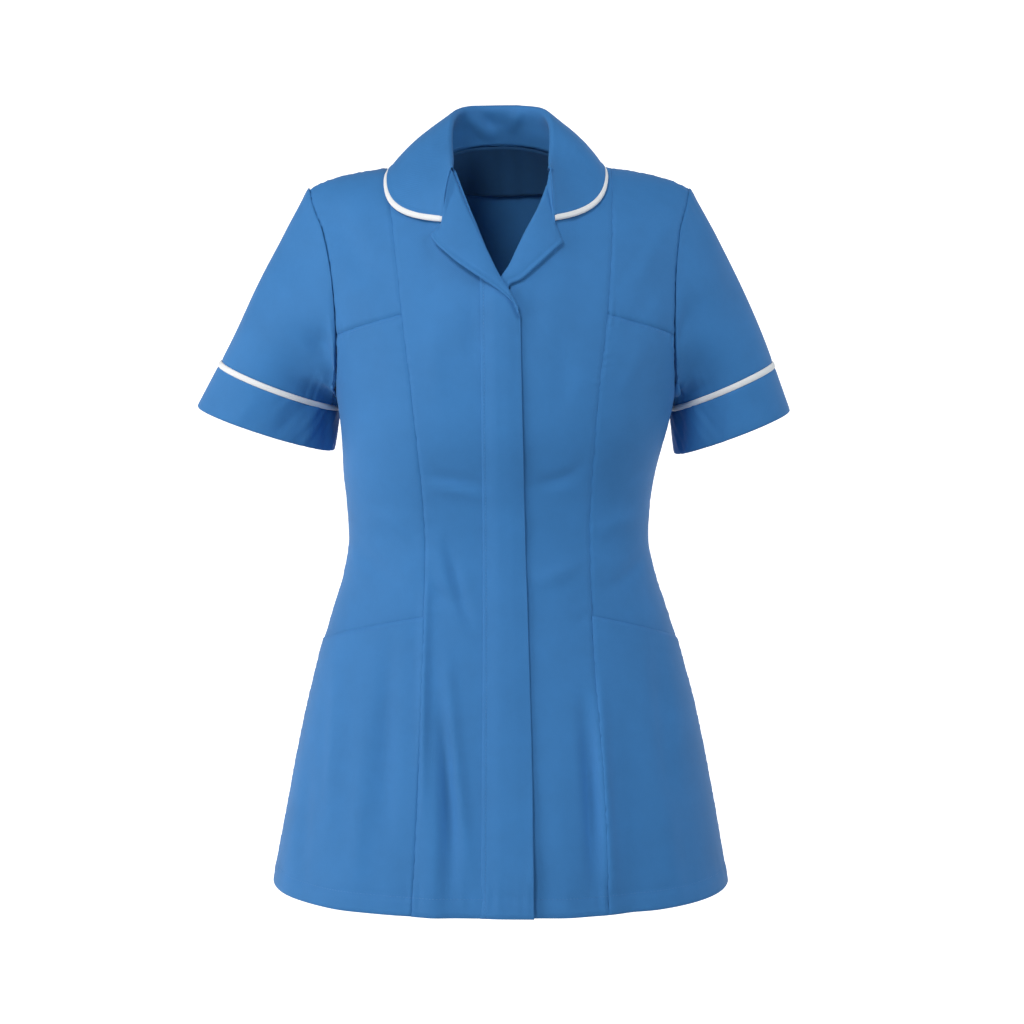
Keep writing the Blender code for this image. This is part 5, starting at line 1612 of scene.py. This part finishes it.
# Each lamp's place, size and colour
LAMPS = {
    "key": ((-1.0, -2.1, 1.8), 0.9, (1.0, 0.985, 0.96)),
    "side": ((-2.7, -1.3, 0.0), 1.5, (1.0, 0.99, 0.97)),
    "fill": ((2.5, -1.7, 1.2), 1.6, (0.88, 0.96, 1.0)),
    "back": ((0.8, 2.6, 1.8), 2.0, (1.0, 1.0, 1.0)),
}
LIT_PLACE = (0, 0, -0.3)
SKY_COLOUR = (0.90, 0.95, 1.0, 1.0)
CAMERA_LENS = 103.98
SENSOR_WIDTH = 36.0
CAMERA_PLACE = (0.0105, -2.8, -0.1)
CAMERA_DROP = 0.234
BOWL_Z = -1.35
BOWL_SIDES = 96
BOWL_PROFILE = ((0.001, 0.0), (2.0, 0.0), (4.0, 0.0), (5.0, 0.06), (6.0, 0.35), (6.8, 0.95), (7.3, 1.8),
                (7.5, 2.8), (7.55, 4.0))


def area_light(name, place, size, power, colour):
    """A square lamp that looks at the middle of the tunic."""
    data = bpy.data.lights.new(name, "AREA")
    data.shape = "RECTANGLE"
    data.size, data.size_y = size, size
    data.energy = power
    data.color = colour
    lamp = placed(name, data)
    lamp.location = place
    lamp.rotation_euler = (Vector(LIT_PLACE) - Vector(place)).to_track_quat("-Z", "Y").to_euler()


class TUNIC_OT_studio(TunicOperator, bpy.types.Operator):
    """Set up the camera, the lights and the pale backdrop"""

    bl_idname = "tunic.studio"
    bl_label = "Studio"

    def execute(self, context):
        scene = context.scene
        studio = scene.tunic_studio
        data = bpy.data.cameras.new("camera")
        data.lens = CAMERA_LENS
        data.sensor_width = SENSOR_WIDTH
        camera = placed("camera", data)
        camera.location = CAMERA_PLACE
        camera.rotation_euler = (math.pi / 2 - math.atan2(CAMERA_DROP, -CAMERA_PLACE[1]), 0, 0)
        scene.camera = camera
        world = bpy.data.worlds.new("studio")
        scene.world = world
        world.use_nodes = True
        background = world.node_tree.nodes["Background"]
        background.inputs["Color"].default_value = SKY_COLOUR
        background.inputs["Strength"].default_value = studio.world_strength
        for name, (place, size, colour) in LAMPS.items():
            area_light(name, place, size, getattr(studio, name + "_power"), colour)
        self.backdrop(studio.backdrop_tone)
        scene.view_settings.view_transform = "Standard"
        return {"FINISHED"}

    def backdrop(self, tone):
        """A wide pale bowl under and round the tunic."""
        mesh = bmesh.new()
        rings = []
        for radius, height in BOWL_PROFILE:
            ring = []
            for step in range(BOWL_SIDES):
                turn = 2 * math.pi * step / BOWL_SIDES
                place = (radius * math.cos(turn), radius * math.sin(turn), BOWL_Z + height)
                ring.append(mesh.verts.new(place))
            rings.append(ring)
        for lower, upper in zip(rings, rings[1:]):
            for step in range(BOWL_SIDES):
                following = (step + 1) % BOWL_SIDES
                mesh.faces.new((lower[step], lower[following], upper[following], upper[step]))
        mesh.faces.new(rings[0][::-1])
        data = bpy.data.meshes.new("backdrop")
        mesh.to_mesh(data)
        mesh.free()
        data.shade_smooth()
        material = new_material("backdrop paper")
        shader = material.node_tree.nodes["Principled BSDF"]
        shader.inputs["Base Color"].default_value = (0.6, 0.6, 0.6, 1)
        shader.inputs["Roughness"].default_value = 0.95
        shader.inputs["Emission Color"].default_value = (1, 1, 1, 1)
        # The backdrop glows behind the tunic and is dim in front of it, so it hardly lights the front
        place = add_node(material, "TexCoord", {}, {})
        split = add_node(material, "SeparateXYZ", {}, {"Vector": (place, "Object")})
        limits = {"From Min": 0.3, "From Max": 2.0, "To Min": 0.05, "To Max": tone}
        glow = add_node(material, "MapRange", limits, {"Value": (split, "Y")},
                        interpolation_type="SMOOTHSTEP")
        wire(material, shader, {"Emission Strength": (glow, "Result")})
        data.materials.append(material)
        thing = placed("backdrop", data)


LENGTH = {"subtype": "DISTANCE", "unit": "LENGTH"}


def number(name, description, default, **limits):
    """A number that the user can change."""
    return FloatProperty(name=name, description=description, default=default, **limits)


def colour_property(name, description, default):
    """A colour that the user can change."""
    return FloatVectorProperty(name=name, description=description, default=default, size=3, min=0, max=1,
                               subtype="COLOR")


class TunicCloth(bpy.types.PropertyGroup):
    """Colours and sizes of the tunic's cloth"""

    cloth_colour: colour_property("Cloth", "Colour of the twill", (0.036, 0.190, 0.480))
    piping_colour: colour_property("Piping", "Colour of the piping on collar and cuffs", (0.84, 0.85, 0.87))
    thread_colour: colour_property("Thread", "Colour of the sewing thread", (0.055, 0.225, 0.52))
    tape_colour: colour_property("Zip", "Colour of the zip's tapes and teeth", (0.035, 0.12, 0.32))
    metal_colour: colour_property("Slider", "Colour of the zip's slider", (0.52, 0.53, 0.55))
    weave_spacing: number("Weave", "Distance between two twill lines", 0.0011, min=0.0002, max=0.01, **LENGTH)
    weave_depth: number("Weave depth", "Height of the twill lines", 0.00012, min=0, max=0.001, **LENGTH)
    hem_depth: number("Hem", "Depth of the turned-up hem", 0.017, min=0.005, max=0.04, **LENGTH)
    roughness: number("Roughness", "Roughness of the twill", 0.74, min=0, max=1, subtype="FACTOR")
    sheen: number("Sheen", "Soft sheen of the twill", 0.07, min=0, max=1, subtype="FACTOR")
    crease_strength: number("Creases", "Strength of the small creases", 1.3, min=0, max=2, subtype="FACTOR")


class TunicStudio(bpy.types.PropertyGroup):
    """Light and backdrop round the tunic"""

    key_power: number("Key", "Power of the light from high in front", 45.0, min=0, unit="POWER")
    side_power: number("Side", "Power of the light from the left", 46.0, min=0, unit="POWER")
    fill_power: number("Fill", "Power of the light from the right", 40.0, min=0, unit="POWER")
    back_power: number("Back", "Power of the light from behind", 12.0, min=0, unit="POWER")
    world_strength: number("Surroundings", "Strength of the light from all round", 0.045, min=0, max=5)
    backdrop_tone: number("Backdrop", "Brightness of the backdrop behind the tunic", 0.98, min=0, max=2)


class TUNIC_PT_build(bpy.types.Panel):
    """Lists the tunic's pieces in the order that they are built"""

    bl_idname = "TUNIC_PT_build"
    bl_label = "Tunic"
    bl_space_type = "VIEW_3D"
    bl_region_type = "UI"
    bl_category = "Tunic"

    def draw(self, context):
        layout = self.layout
        for group in (context.scene.tunic_cloth, context.scene.tunic_studio):
            box = layout.box()
            for name in group.bl_rna.properties.keys():
                if name not in ("rna_type", "name"):
                    box.prop(group, name)
        for operator in OPERATORS:
            layout.operator(operator.bl_idname)


OPERATORS = (
    TUNIC_OT_fronts,
    TUNIC_OT_pockets,
    TUNIC_OT_backs,
    TUNIC_OT_sleeves,
    TUNIC_OT_cuffs,
    TUNIC_OT_collar,
    TUNIC_OT_lapels,
    TUNIC_OT_fly,
    TUNIC_OT_zip,
    TUNIC_OT_facing,
    TUNIC_OT_stitching,
    TUNIC_OT_studio,
)
CLASSES = (TunicCloth, TunicStudio) + OPERATORS + (TUNIC_PT_build,)


def register():
    """Register the classes and hang the tunic's properties on the scene."""
    for kind in CLASSES:
        bpy.utils.register_class(kind)
    bpy.types.Scene.tunic_cloth = PointerProperty(type=TunicCloth)
    bpy.types.Scene.tunic_studio = PointerProperty(type=TunicStudio)


def unregister():
    """Take the properties and the classes away again."""
    del bpy.types.Scene.tunic_studio
    del bpy.types.Scene.tunic_cloth
    for kind in reversed(CLASSES):
        bpy.utils.unregister_class(kind)


def main():
    """Build every piece in order."""
    register()
    for operator in OPERATORS:
        group, name = operator.bl_idname.split(".")
        getattr(getattr(bpy.ops, group), name)()


if __name__ == "__main__":
    main()
